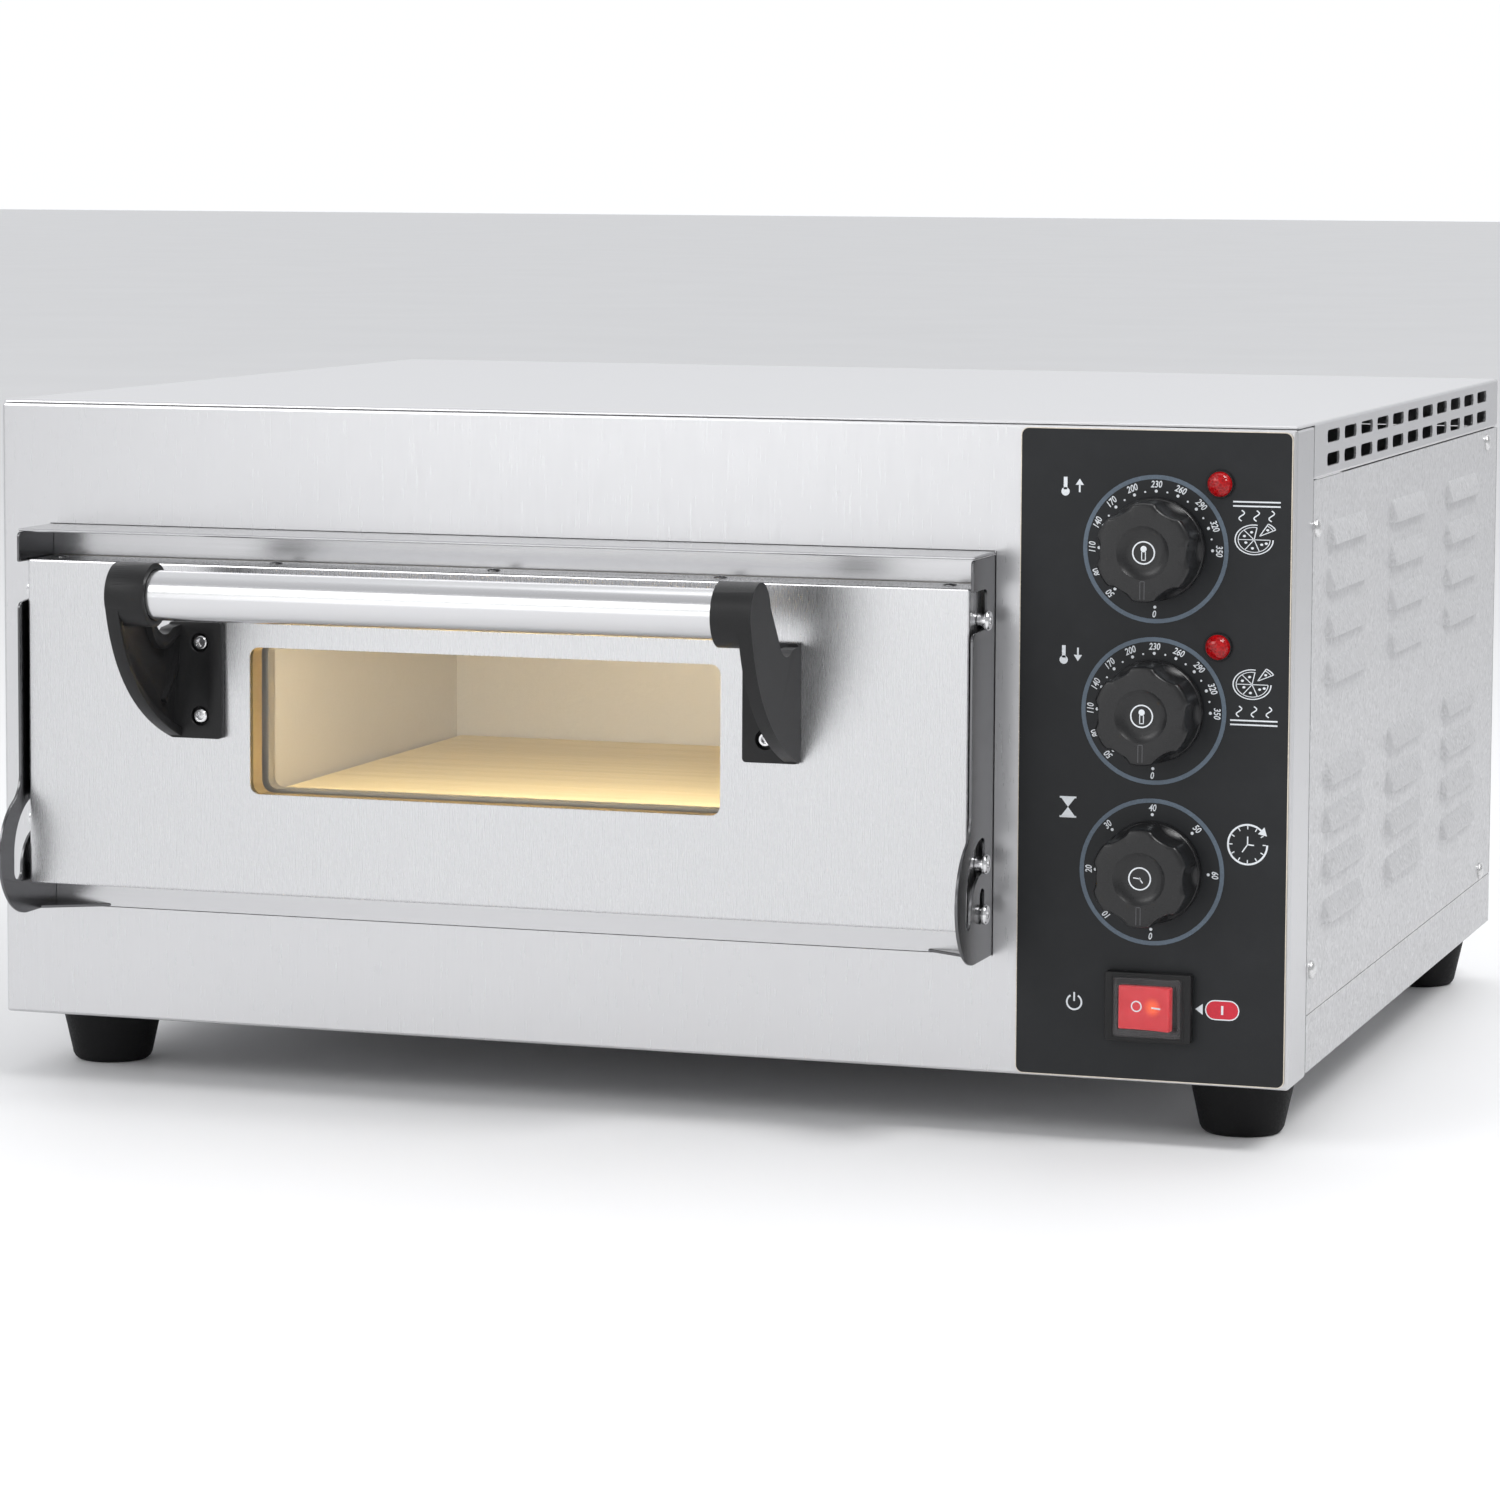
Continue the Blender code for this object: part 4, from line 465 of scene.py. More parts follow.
dress(steel_front, "front_panel")
dress(steel_top, "top_cover")
dress(steel_side, "base_tray")
dress(steel_plain, "rear_panel", "partition", "stone_rail_left", "stone_rail_right")
dress(polished, "door_frame_plate", "door_hood")
dress(steel_door, "door_skin")
dress(liner_steel, "chamber_liner", "door_liner")
dress(film_black, "control_overlay")
dress(gasket_gold, "glass_spacer")
dress(glass_clear, "outer_glass", "inner_glass")
dress(wool, "insulation_blanket")
dress(stone, "pizza_stone")
dress(sheath, "upper_heating_element", "lower_heating_element")
dress(porcelain, "terminal_block")
dress(brass, "top_sensing_bulb", "bottom_sensing_bulb")
dress(black_moulded, "top_thermostat", "bottom_thermostat")
dress(bright_tube, "timer")
dress(stud_steel, "top_heat_shaft", "bottom_heat_shaft", "timer_shaft")

# ---------------------------------------------------------------- louvred sides

LOUVRE_LENGTH = 84.0
LOUVRE_HEIGHT = 10.0
LOUVRE_OUT = 2.9
LOUVRE_SINK = 0.4  # depth of a louvre shell below the sheet where it does not stand out


def louvre_places():
    for column in range(3):
        for group in range(2):
            for row in range(4):
                yield 102 + 134.5 * column, 212.5 - 98.1 * group - 18.8 * row


def louvre_out(along, up):
    """How far a louvre stands out, from its slope and its rounded ends."""
    slope = LOUVRE_OUT * (1 - (up / LOUVRE_HEIGHT) ** 1.25)
    end = LOUVRE_LENGTH / 2 - abs(along)
    side = 0.62 * max(0.0, end - 0.42 * up)
    soft = 0.5
    low = min(slope, side)
    return max(0.0, low - soft * math.exp(-abs(slope - side) / soft) * 0.35 * (low > 0.05))


def louvre(side, y, z):
    face = HALF_WIDTH
    edge = [2.0 * i for i in range(6)]
    alongs = [-42 + a for a in edge] + [-30 + 5 * i for i in range(13)] + [32 + a for a in edge]
    ups = [LOUVRE_HEIGHT * i / 8 for i in range(9)]

    def build(bm):
        rows = []
        wall = 0.75
        for up in reversed(ups):
            rows.append([(a, up, louvre_out(a, up) or -LOUVRE_SINK) for a in alongs])
        for up in ups[:-2]:
            rows.append([(a, up + 0.02, louvre_out(a, up) - wall) for a in alongs])
        grid = [[bm.verts.new(at(side * (face + o), y + a, z + u)) for a, u, o in row] for row in rows]
        for one, two in zip(grid, grid[1:]):
            for i in range(len(one) - 1):
                bm.faces.new((one[i], one[i + 1], two[i + 1], two[i]))

    return mesh_of(build)


def side_panel(name, side):
    low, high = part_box(name)
    z_low, z_high = (low.z - BASE) / MM, (high.z - BASE) / MM
    y_low, y_high = (low.y - FRONT) / MM, (high.y - FRONT) / MM
    x_one, x_two = side * HALF_WIDTH, side * (HALF_WIDTH - 1)
    sheet = block((min(x_one, x_two), y_low, z_low), (max(x_one, x_two), y_high, z_high))
    holes = []
    for y, z in louvre_places():
        holes.append(
            block(
                (min(x_one, x_two) - 1, y - 27, z + 0.2),
                (max(x_one, x_two) + 1, y + 27, z + 2.6),
            )
        )
    sheet = combine(sheet, [merged(holes)])
    shells = [louvre(side, y, z) for y, z in louvre_places()]
    piece(name + "_sheet", merged([sheet, *shells]), steel_side, "cabinet", [name], 50)


side_panel("side_panel_left", -1)
side_panel("side_panel_right", 1)


# ---------------------------------------------------------------- screws and rivets


def pan_head(place, facing, radius=3.7, height=2.2, turn=20.0):
    """A cross-recessed pan head."""
    dome = [(0, height)] + [
        (radius * math.sin(math.radians(a)), height * (0.35 + 0.65 * math.cos(math.radians(a))))
        for a in (15, 30, 45, 60, 75, 90)
    ]
    head = lathe([*dome, (radius, 0), (0, 0)], Vector(), "up", 32)
    arm, width = 0.62 * radius, 0.17 * radius

    def cross(bm):
        for long_side, short_side in ((arm, width), (width, arm)):
            made = bmesh.ops.create_cube(bm, size=1.0)
            size = Vector((2 * long_side, 2 * short_side, height)) * MM
            bmesh.ops.scale(bm, vec=size, verts=made["verts"])
            bmesh.ops.translate(bm, vec=(0, 0, 1.05 * height * MM), verts=made["verts"])

    head = combine(head, [mesh_of(cross)])
    turned = Matrix.Rotation(math.radians(turn), 4, "Z")
    head.transform(Matrix.Translation(place) @ FACING[facing] @ turned)
    return head


def screws(name, places, facing, body="cabinet", slot="polished_steel", **sizes):
    for i, place in enumerate(places):
        mesh = pan_head(at(*place), facing, turn=17 + 53 * i, **sizes)
        piece(f"{name}_{i + 1}", mesh, screw_steel, body)


SIDE_SCREWS = ((38, 221), (437, 234.5), (40, 42.7), (438, 29.7))
screws("screw_right", [(HALF_WIDTH, y, z) for y, z in SIDE_SCREWS], "right")
screws("screw_left", [(-HALF_WIDTH, y, z) for y, z in SIDE_SCREWS], "left")
REAR_SCREWS = [(x, BODY_DEPTH, z) for x in (-268, 0, 268) for z in (35, 228)]
screws("screw_rear", REAR_SCREWS, "back")
COVER_SCREWS = [(x, BODY_DEPTH, BODY_HEIGHT - 11) for x in (-180, 180)]
screws("screw_cover", COVER_SCREWS, "back")


def rivet(name, x):
    """A low domed rivet on the door's top edge."""
    top = (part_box("door_skin")[1].z - BASE) / MM
    dome = [(2.9 * math.sin(t), 0.9 * math.cos(t)) for t in (0.0, 0.35, 0.7, 1.05, 1.4, 1.5708)]
    dome[0] = (0, 0.9)
    mesh = lathe([*dome, (2.9, 0), (0, 0)], at(x, -13, top), "up", 32)
    piece(name, mesh, screw_steel, "door")


for index, x in enumerate((-246.2, -148.1, -51.3, 46.6, 142.9)):
    rivet(f"door_rivet_{index + 1}", x)


# ---------------------------------------------------------------- feet and gland


def feet():
    profile = [
        (4, 0),
        (22.0, 0),
        (22.4, -0.6),
        (22.3, -1.4),
        (17.6, -22.6),
        (17.2, -24.4),
        (16.4, -25.9),
        (15.1, -27.0),
        (13.6, -27.2),
        (9.4, -27.2),
        (9.0, -26.6),
        (9.0, -21.2),
        (4, -21.2),
    ]
    for end in ("front", "rear"):
        for side in ("left", "right"):
            node = f"foot_{end}_{side}"
            low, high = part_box(node)
            place = Vector(((low.x + high.x) / 2, (low.y + high.y) / 2, high.z))
            mesh = lathe(profile, place, "up", 72)
            head = lathe(
                [(0, 0), (6.5, 0), (6.8, -0.5), (6.4, -2.6), (5.6, -3.4), (0, -3.4)],
                place + Vector((0, 0, -0.0212)),
                "up",
                32,
            )
            piece(node + "_rubber", mesh, rubber, "cabinet", [node])
            piece(node + "_bolt", head, screw_steel, "cabinet")


def gland():
    hexagon = [(9.9 * math.cos(math.radians(60 * i)), 9.9 * math.sin(math.radians(60 * i))) for i in range(6)]
    nut = slab([(215 + a, 60 + b) for a, b in hexagon], "XZ", BODY_DEPTH + 0.3, 4.2)
    neck = [
        (4.5, 10),
        (6.4, 10),
        (7.6, 9.4),
        (8.6, 7.8),
        (9.0, 6.6),
        (9.0, 4.0),
        (8.0, 4.0),
        (7.9, -12),
        (4.5, -12),
        (4.5, 10),
    ]
    def ribs(radius, height, angle):
        gripped = 4.0 <= height <= 7.8 and radius > 8.5
        return radius - 0.3 * gripped * (0.5 + 0.5 * math.cos(18 * angle))

    body = lathe(neck, at(215, BODY_DEPTH, 60), "back", 72, ribs)
    hole = lathe([(0, 20), (6.5, 20), (6.5, -20), (0, -20)], at(215, BODY_DEPTH, 60), "back", 48)
    ring = combine(eased(nut, 0.5), [hole])
    piece("gland_body", body, black_moulded, "cabinet", ["cable_gland"])
    piece("gland_nut", ring, black_moulded, "cabinet")


feet()
gland()

# ---------------------------------------------------------------- hinge plates and studs

STUD_Y = -16.0
HINGE_Z, GUIDE_Z, LATCH_Z = 66.8, 87.1, 184.6
SLOT_RADIUS = 3.6
LIFT = 6.8


def cheek_edge():
    front, rear, base, top = -33.0, -0.3, 48.0, 209.5
    under = LATCH_Z - HINGE_Z - SLOT_RADIUS
    lip = math.degrees(math.asin((-front - 3 + STUD_Y) / under))
    head = [(rear, top)] + arc((front + 2, top - 2), 2, 90, 180, 5)
    notch = [(front, 197.6)] + arc((front + 0.6, 197.6), 0.6, 180, 270, 3)
    notch += arc((STUD_Y + SLOT_RADIUS - 3, 194), 3, 90, 0, 5)
    notch += arc((STUD_Y, LATCH_Z), SLOT_RADIUS, 0, -90, 7)
    path = arc((STUD_Y, HINGE_Z), under, 90, 90 + lip, 7)
    nose = arc((front + 3, path[-1][1] - 3), 3, 90, 180, 5)
    centre, radius, blend = (-27.0, base + 26.0), 26.0, 12.9
    fillet_y = front - blend
    fillet_z = centre[1] + math.sqrt((radius + blend) ** 2 - (centre[0] - fillet_y) ** 2)
    turn = math.degrees(math.atan2(fillet_z - centre[1], fillet_y - centre[0]))
    fillet = arc((fillet_y, fillet_z), blend, 0, turn - 180, 14)
    ear = arc(centre, radius, turn, 270, 48)
    return head + notch + path[1:] + nose[1:] + fillet + ear[1:] + [(rear, base)]


def crescent():
    reach = GUIDE_Z - HINGE_Z
    head = arc((STUD_Y, GUIDE_Z + LIFT), SLOT_RADIUS, 0, 90, 8)
    outer = arc((STUD_Y, HINGE_Z + LIFT), reach + SLOT_RADIUS, 90, 180, 28)
    tip = arc((STUD_Y - reach, HINGE_Z), SLOT_RADIUS, 180, 360, 14)
    inner = arc((STUD_Y, HINGE_Z), reach - SLOT_RADIUS, 180, 90, 24)
    seat = arc((STUD_Y, GUIDE_Z), SLOT_RADIUS, 270, 360, 8)
    return head + outer[1:] + tip + inner[1:] + seat[1:]


def upright():
    low = arc((STUD_Y, HINGE_Z), SLOT_RADIUS, 180, 360, 14)
    return low + arc((STUD_Y, HINGE_Z + LIFT), SLOT_RADIUS, 0, 180, 14)


def hinge_plate(label, side):
    node = f"hinge_plate_{label}"
    door_low, door_high = (corner.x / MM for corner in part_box("door_skin"))
    inner = (door_high if side > 0 else door_low) + side * 1.6
    start = min(inner, inner + side * 1.2)
    plate = slab(cheek_edge(), "YZ", start, 1.2)
    holes = [slab(outline, "YZ", start - 1, 3.2) for outline in (crescent(), upright())]
    plate = eased(combine(plate, holes), 0.2, 1)
    root = inner + side * 0.3
    tab = slab([(root, -15), (root, -0.3), (inner - side * 25.5, -0.3)], "XY", 48.0, 1.2)
    mesh = merged([plate, eased(tab, 0.2, 1)])
    # The cheeks take the near-black painted shade.
    piece(node + "_plate", mesh, hinge_steel_painted_shade, "cabinet", [node])


def stud(role, z, label, side):
    node = f"{role}_stud_{label}"
    low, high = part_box(node)
    root = (low.x if side > 0 else high.x) / MM
    length = (high.x - low.x) / MM
    profile = [
        (0, length - 0.8),
        (1.5, length - 0.8),
        (1.7, length - 0.1),
        (2.0, length),
        (3.5, length),
        (4.0, length - 0.5),
        (4.1, length - 1.0),
        (4.1, length - 1.8),
        (3.1, length - 1.9),
        (3.1, 0),
        (0, 0),
    ]
    mesh = lathe(profile, at(root, STUD_Y, z), "right" if side > 0 else "left", 40)
    piece(node + "_turned", mesh, stud_steel, "door", [node])


for side, label in ((-1, "left"), (1, "right")):
    hinge_plate(label, side)
    for role, z in (("hinge", HINGE_Z), ("guide", GUIDE_Z), ("latch", LATCH_Z)):
        stud(role, z, label, side)

# ---------------------------------------------------------------- handle

TUBE_Y, TUBE_Z, TUBE_RADIUS = -82.0, 189.7, 10.2
BARREL_RADIUS, BARREL_LENGTH = 13.0, 16.7
BRACKET_FOOT_BASE, BRACKET_FOOT_TOP, BRACKET_FOOT_WIDTH = 125.8, 174.3, 23.5
BRACKET_SCREWS = (("lower", 135.2), ("upper", 165.8))
SCREW_FROM_OUTER = 13.9
DOOR_FACE = (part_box("door_skin")[0].y - FRONT) / MM


def handle_tube():
    low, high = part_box("handle_tube")
    length = (high.x - low.x) / MM
    profile = [
        (8.7, length),
        (9.9, length),
        (TUBE_RADIUS, length - 0.3),
        (TUBE_RADIUS, 0.3),
        (9.9, 0),
        (8.7, 0),
        (8.7, length),
    ]
    mesh = lathe(profile, at(low.x / MM, TUBE_Y, TUBE_Z), "right", 96)
    piece("handle_grip", mesh, bright_tube, "door", ["handle_tube"])


def bracket_side(inset=0.0):
    """The bracket's side view, shrunk by an inset."""
    radius = BARREL_RADIUS - inset
    face, base = DOOR_FACE - 2.0 + inset / 2, BRACKET_FOOT_BASE + inset
    over = arc((TUBE_Y, TUBE_Z), radius, 10, 180, 30)
    first, last = (TUBE_Y - radius, TUBE_Z), (face, base)
    pull = (TUBE_Y - radius + 8, base + 18.5)
    curve = []
    for i in range(1, 28):
        t = i / 28
        curve.append(
            tuple((1 - t) ** 2 * first[k] + 2 * t * (1 - t) * pull[k] + t * t * last[k] for k in range(2))
        )
    neck = BRACKET_FOOT_TOP - inset
    throat = arc((DOOR_FACE - 18.5, neck + 7.8), 11.8 + inset, 205, 305, 14)
    return over + curve + [last, (face, neck - 1)] + throat[::-1]


def bracket(label, side):
    node = f"handle_bracket_{label}"
    low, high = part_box(node)
    outer = (high.x if side > 0 else low.x) / MM

    def across(near, far):
        one, two = outer - side * near, outer - side * far
        return min(one, two), abs(one - two)

    start, wide = across(0, 5.5)
    web = slab(bracket_side(), "YZ", start, wide)
    start, wide = across(2.5, 8)
    web = combine(web, [slab(bracket_side(3.0), "YZ", start, wide)])
    facing = "right"
    start, wide = across(0, BARREL_LENGTH)
    ends = [(0, wide), (BARREL_RADIUS, wide), (BARREL_RADIUS, 0), (0, 0)]
    barrel = lathe(ends, at(start, TUBE_Y, TUBE_Z), facing, 72)
    start, wide = across(0, BRACKET_FOOT_WIDTH)
    shape = rounded(start, BRACKET_FOOT_BASE, start + wide, BRACKET_FOOT_TOP, 1.6)
    foot = slab(shape, "XZ", DOOR_FACE - 3.8, 3.5)
    whole = combine(web, [barrel, foot], "UNION")
    rib_middle = (TUBE_Y + 6.0, 179.0)
    rib_outer = arc(rib_middle, 49.0, -50, -12, 16)
    rib = rib_outer + arc(rib_middle, 46.4, -12, -50, 16)
    start, wide = across(2.0, 4.6)
    whole = combine(whole, [slab(rib, "YZ", start, wide)], "UNION")
    start, wide = across(4.0, 25)
    bore = lathe([(0, wide), (10.5, wide), (10.5, 0), (0, 0)], at(start, TUBE_Y, TUBE_Z), facing, 72)
    seats = []
    screw_x = outer - side * SCREW_FROM_OUTER
    for _, z in BRACKET_SCREWS:
        sink = [(0, 8), (4.5, 8), (4.5, 0.4), (3.9, -0.4), (3.9, -3), (0, -3)]
        seats.append(lathe(sink, at(screw_x, DOOR_FACE - 3.8, z), "out", 40))
    whole = combine(whole, [bore, merged(seats)])
    piece(node + "_moulding", eased(whole, 0.45, 2, 40), black_moulded, "door", [node], 40)
    for place, z in BRACKET_SCREWS:
        screw = f"bracket_screw_{label}_{place}"
        cap = [(0, 1.0), (1.35, 1.0), (1.5, 2.5), (1.7, 2.7), (2.5, 2.7), (2.9, 2.3), (2.9, 0), (0, 0)]

        def hexed(radius, height, angle):
            if radius > 1.6 or height < 0.9:
                return radius
            return radius / max(0.866, math.cos((angle % (math.pi / 3)) - math.pi / 6))

        mesh = lathe(cap, at(screw_x, DOOR_FACE - 1.1, z), "out", 48, hexed)
        piece(screw + "_head", mesh, stud_steel, "door", [screw])


handle_tube()
bracket("left", -1)
bracket("right", 1)

# ---------------------------------------------------------------- printed marks

INK = 0.05
ink_face = FILM_FACE - INK


def stroke(points, width, closed=False):
    """A band of even width along points, as quads in the print's plane."""
    count = len(points)
    left, right = [], []
    for i, point in enumerate(points):
        before = points[i - 1] if closed or i else point
        after = points[(i + 1) % count] if closed or i < count - 1 else point
        step = Vector((after[0] - before[0], after[1] - before[1]))
        normal = Vector((-step.y, step.x)).normalized() * (width / 2)
        left.append((point[0] + normal.x, point[1] + normal.y))
        right.append((point[0] - normal.x, point[1] - normal.y))
    last = count if closed else count - 1
    return [(left[i], right[i], right[(i + 1) % count], left[(i + 1) % count]) for i in range(last)]


def disc(middle, radius, count=20):
    return [tuple(arc(middle, radius, 0, 360 - 360 / count, count))]


def ring(middle, radius, width, first=0.0, last=360.0):
    if last - first >= 360:
        return stroke(arc(middle, radius, 0, 354, 60), width, True)
    return stroke(arc(middle, radius, first, last, 40), width)


def printed(name, shapes, look, body="cabinet", face=None, thick=INK, extra=()):
    face = ink_face if face is None else face
    meshes = [slab(shape, "XZ", face, thick) for shape in shapes]
    piece(name, merged([*meshes, *extra]), look, body)


def figures(text, size, x, z, turn):
    """Numerals centred on a point, turned clockwise by an angle in degrees."""
    curve = bpy.data.curves.new("figures", "FONT")
    curve.body = text
    curve.size = size * MM
    curve.extrude = INK * MM / 2
    curve.align_x = "CENTER"
    curve.align_y = "CENTER"
    curve.resolution_u = 4
    curve.offset = 0.00006
    curve.shear = 0.18
    mesh = baked(scratch(curve))
    face = FACING["out"] @ Matrix.Rotation(math.radians(-turn), 4, "Z") @ Matrix.Scale(0.80, 4, (1, 0, 0))
    mesh.transform(Matrix.Translation(at(x, ink_face + INK / 2, z)) @ face)
    return mesh


def clock(middle, radius, degrees):
    """A point at a clockwise angle from twelve o'clock."""
    turn = math.radians(degrees)
    return middle[0] + radius * math.sin(turn), middle[1] + radius * math.cos(turn)


def dial_face(name, z, marks, small):
    middle = (DIAL_X, z)
    dots, numerals = [], []
    for text, turn in marks:
        dots += disc(clock(middle, 23.0, turn), 0.62)
        numerals.append(figures(text, 3.75, *clock(middle, 25.6, turn), turn))
    for turn in small:
        dots += disc(clock(middle, 23.0, turn), 0.40)
    printed(name + "_scale", dots, ink_white, extra=numerals)
    printed(name + "_ring", ring(middle, 28.6, 1.7), ring_blue)


HEAT_MARKS = [("0", 180)] + [(str(50 + 30 * i), 225 + 22.5 * i) for i in range(11)]
HEAT_DOTS = [281.25 + 22.5 * i for i in range(8)]
TIME_MARKS = [(str(10 * i), 180 + 45 * i) for i in range(7)]
dial_face("top_heat", DIAL_Z[0], HEAT_MARKS, HEAT_DOTS)
dial_face("bottom_heat", DIAL_Z[1], HEAT_MARKS, HEAT_DOTS)
dial_face("timer", DIAL_Z[2], TIME_MARKS, [])


def pizza(middle):
    """A round pizza with one slice lifted out."""
    x, z = middle
    shapes = ring(middle, 7.6, 0.5, 80, 360) + ring(middle, 6.4, 0.35, 80, 360)
    for turn in (80, 130, 180, 235, 290, 360):
        end = (x + 6.4 * math.cos(math.radians(turn)), z + 6.4 * math.sin(math.radians(turn)))
        shapes += stroke([middle, end], 0.38)
    for turn, far in ((105, 4.0), (155, 4.3), (205, 3.6), (262, 4.4), (322, 3.9), (340, 5.2)):
        spot = (x + far * math.cos(math.radians(turn)), z + far * math.sin(math.radians(turn)))
        shapes += disc(spot, 0.62, 12)
    tip = (x + 2.2, z + 1.9)
    shapes += ring(tip, 7.2, 0.5, 28, 62) + ring(tip, 6.1, 0.35, 28, 62)
    for turn in (28, 62):
        end = (tip[0] + 7.2 * math.cos(math.radians(turn)), tip[1] + 7.2 * math.sin(math.radians(turn)))
        shapes += stroke([tip, end], 0.42)
    shapes += disc((tip[0] + 3.2, tip[1] + 3.2), 0.6, 12)
    flatten = 0.77  # the pizza is seen a little from the side
    return [tuple((a, z + flatten * (b - z)) for a, b in shape) for shape in shapes]


def heat_waves(x, z):
    shapes = []
    for offset in (-6.0, 0.0, 6.0):
        wave = []
        for i in range(13):
            t = i / 12
            wave.append((x + offset + 1.1 * math.sin(2 * math.pi * t), z + 2.1 - 4.2 * t))
        shapes += stroke(wave, 0.48)
    return shapes


def element_bars(x, z):
    return stroke([(x - 9.5, z + 0.85), (x + 9.5, z + 0.85)], 0.6) + stroke(
        [(x - 9.5, z - 0.85), (x + 9.5, z - 0.85)], 0.6
    )


def thermometer(x, z, size=1.0):
    stem = stroke([(x, z - 1.6 * size), (x, z + 3.4 * size)], 1.5 * size)
    return stem + disc((x, z - 2.4 * size), 1.7 * size)


def arrow(x, z, way):
    return stroke([(x, z - 2.4 * way), (x, z + 0.6 * way)], 0.7) + [
        ((x - 1.7, z + 0.5 * way), (x + 1.7, z + 0.5 * way), (x, z + 3.0 * way))
    ]


def marks():
    icon_x = 264.2
    printed(
        "icon_top_heat",
        element_bars(icon_x, 232.6) + heat_waves(icon_x, 228.0) + pizza((263.3, 218.6)),
        ink_white,
    )
    printed(
        "icon_bottom_heat",
        pizza((263.3, 161.4)) + heat_waves(icon_x, 150.6) + element_bars(icon_x, 146.2),
        ink_white,
    )
    middle = (262.4, 97.8)
    size = 7.9
    face = ring(middle, size, 0.75, 47, 360)
    for i in range(12):
        inner, outer = clock(middle, 6.1, 30 * i), clock(middle, 7.4, 30 * i)
        face += stroke([inner, outer], 0.4)
    face += stroke([middle, clock(middle, 3.2, 0)], 0.5) + stroke([middle, clock(middle, 2.6, 95)], 0.5)
    face += stroke([middle, clock(middle, 3.8, 215)], 0.45)
    out, way = (0.682, 0.731), (0.731, -0.682)
    head = []
    for a, b in ((-1.9, 0.0), (1.9, 0.0), (0.0, 3.2)):
        head.append(tuple(middle[k] + size * out[k] + a * out[k] + b * way[k] for k in range(2)))
    face += [tuple(head)]
    printed("icon_timer", face, ink_white)
    printed("mark_top_heat", thermometer(186.8, 238.2) + arrow(192.6, 238.0, 1), ink_white)
    printed("mark_bottom_heat", thermometer(186.8, 171.0) + arrow(192.6, 171.2, -1), ink_white)
    waist = (189.2, 109.6)
    glass = [((186.4, 113.2), (192.0, 113.2), waist), ((186.4, 106.0), waist, (192.0, 106.0))]
    glass += stroke([(185.8, 113.5), (192.6, 113.5)], 0.7) + stroke([(185.8, 105.7), (192.6, 105.7)], 0.7)
    printed("mark_timer", glass, ink_white)
    power = ring((192.6, 31.0), 3.0, 0.7, 120, 420) + stroke([(192.6, 31.4), (192.6, 35.0)], 0.7)
    printed("mark_power", power, ink_white)
    pointer = [((242.2, 31.0), (245.2, 33.2), (245.2, 28.8))]
    outline = rounded(246.4, 27.2, 259.8, 34.8, 3.7)
    pill = stroke(outline, 0.45, True) + stroke([(253.1, 29.2), (253.1, 32.8)], 0.9)
    printed("pill_print", pointer + pill, ink_white, face=ink_face - 0.02)
    printed("pill_ground", [rounded(246.5, 27.3, 259.7, 34.7, 3.6)], ink_red)


marks()


def film_border():
    """The bright cut edge round the printed film."""
    low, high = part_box("control_overlay")
    x_low, x_high = low.x / MM, high.x / MM
    z_low, z_high = (low.z - BASE) / MM, (high.z - BASE) / MM
    border = stroke(rounded(x_low + 0.1, z_low + 0.1, x_high - 0.1, z_high - 0.1, 3.0, 8), 0.35, True)
    printed("overlay_border", border, film_edge, face=FILM_FACE - 0.03, thick=0.5)


film_border()

# ---------------------------------------------------------------- knobs

KNOB_DEPTH = 21.0
FLUTES = 6


def flute_cut(angle, height):
    """The depth of a flute at an angle and a height above the knob's skirt."""
    pitch = 2 * math.pi / FLUTES
    off = abs((angle + pitch / 2) % pitch - pitch / 2)
    across = max(0.0, 1 - (off / math.radians(16.5)) ** 2)
    rise = min(1.0, max(0.0, (height - 3.8) / 3.4))
    return 2.15 * across ** 0.75 * math.sin(rise * math.pi / 2)


def knob_profile():
    dish = [(0, KNOB_DEPTH - 1.9), (3.0, KNOB_DEPTH - 1.9), (5.2, KNOB_DEPTH - 1.86)]
    for i in range(1, 9):
        t = i / 8
        dish.append((5.2 + 5.4 * t, KNOB_DEPTH - 1.86 + 1.86 * t ** 2.6))
    rim = [(10.9, KNOB_DEPTH + 0.0), (14.0, KNOB_DEPTH + 0.0), (17.0, KNOB_DEPTH - 0.05)]
    edge = []
    for t in (0.2, 0.5, 0.8, 1.1, 1.4):
        edge.append((18.0 + 1.6 * math.sin(t), KNOB_DEPTH - 1.7 + 1.6 * math.cos(t)))
    wall = [(19.7, 17.5), (19.8, 14.0), (19.85, 11.0), (19.9, 8.5), (19.9, 7.2)]
    wall += [(19.9, 6.6), (19.9, 6.0), (19.9, 5.4), (19.9, 4.8), (19.9, 4.3), (19.9, 3.8), (19.9, 3.2)]
    skirt = [(20.1, 3.0), (20.4, 2.6), (20.5, 2.0), (20.5, 0.4), (20.2, 0.0)]
    skirt += [(3.3, 0.0), (3.3, 12.0), (0, 12.0)]
    return dish + rim + edge + wall + skirt


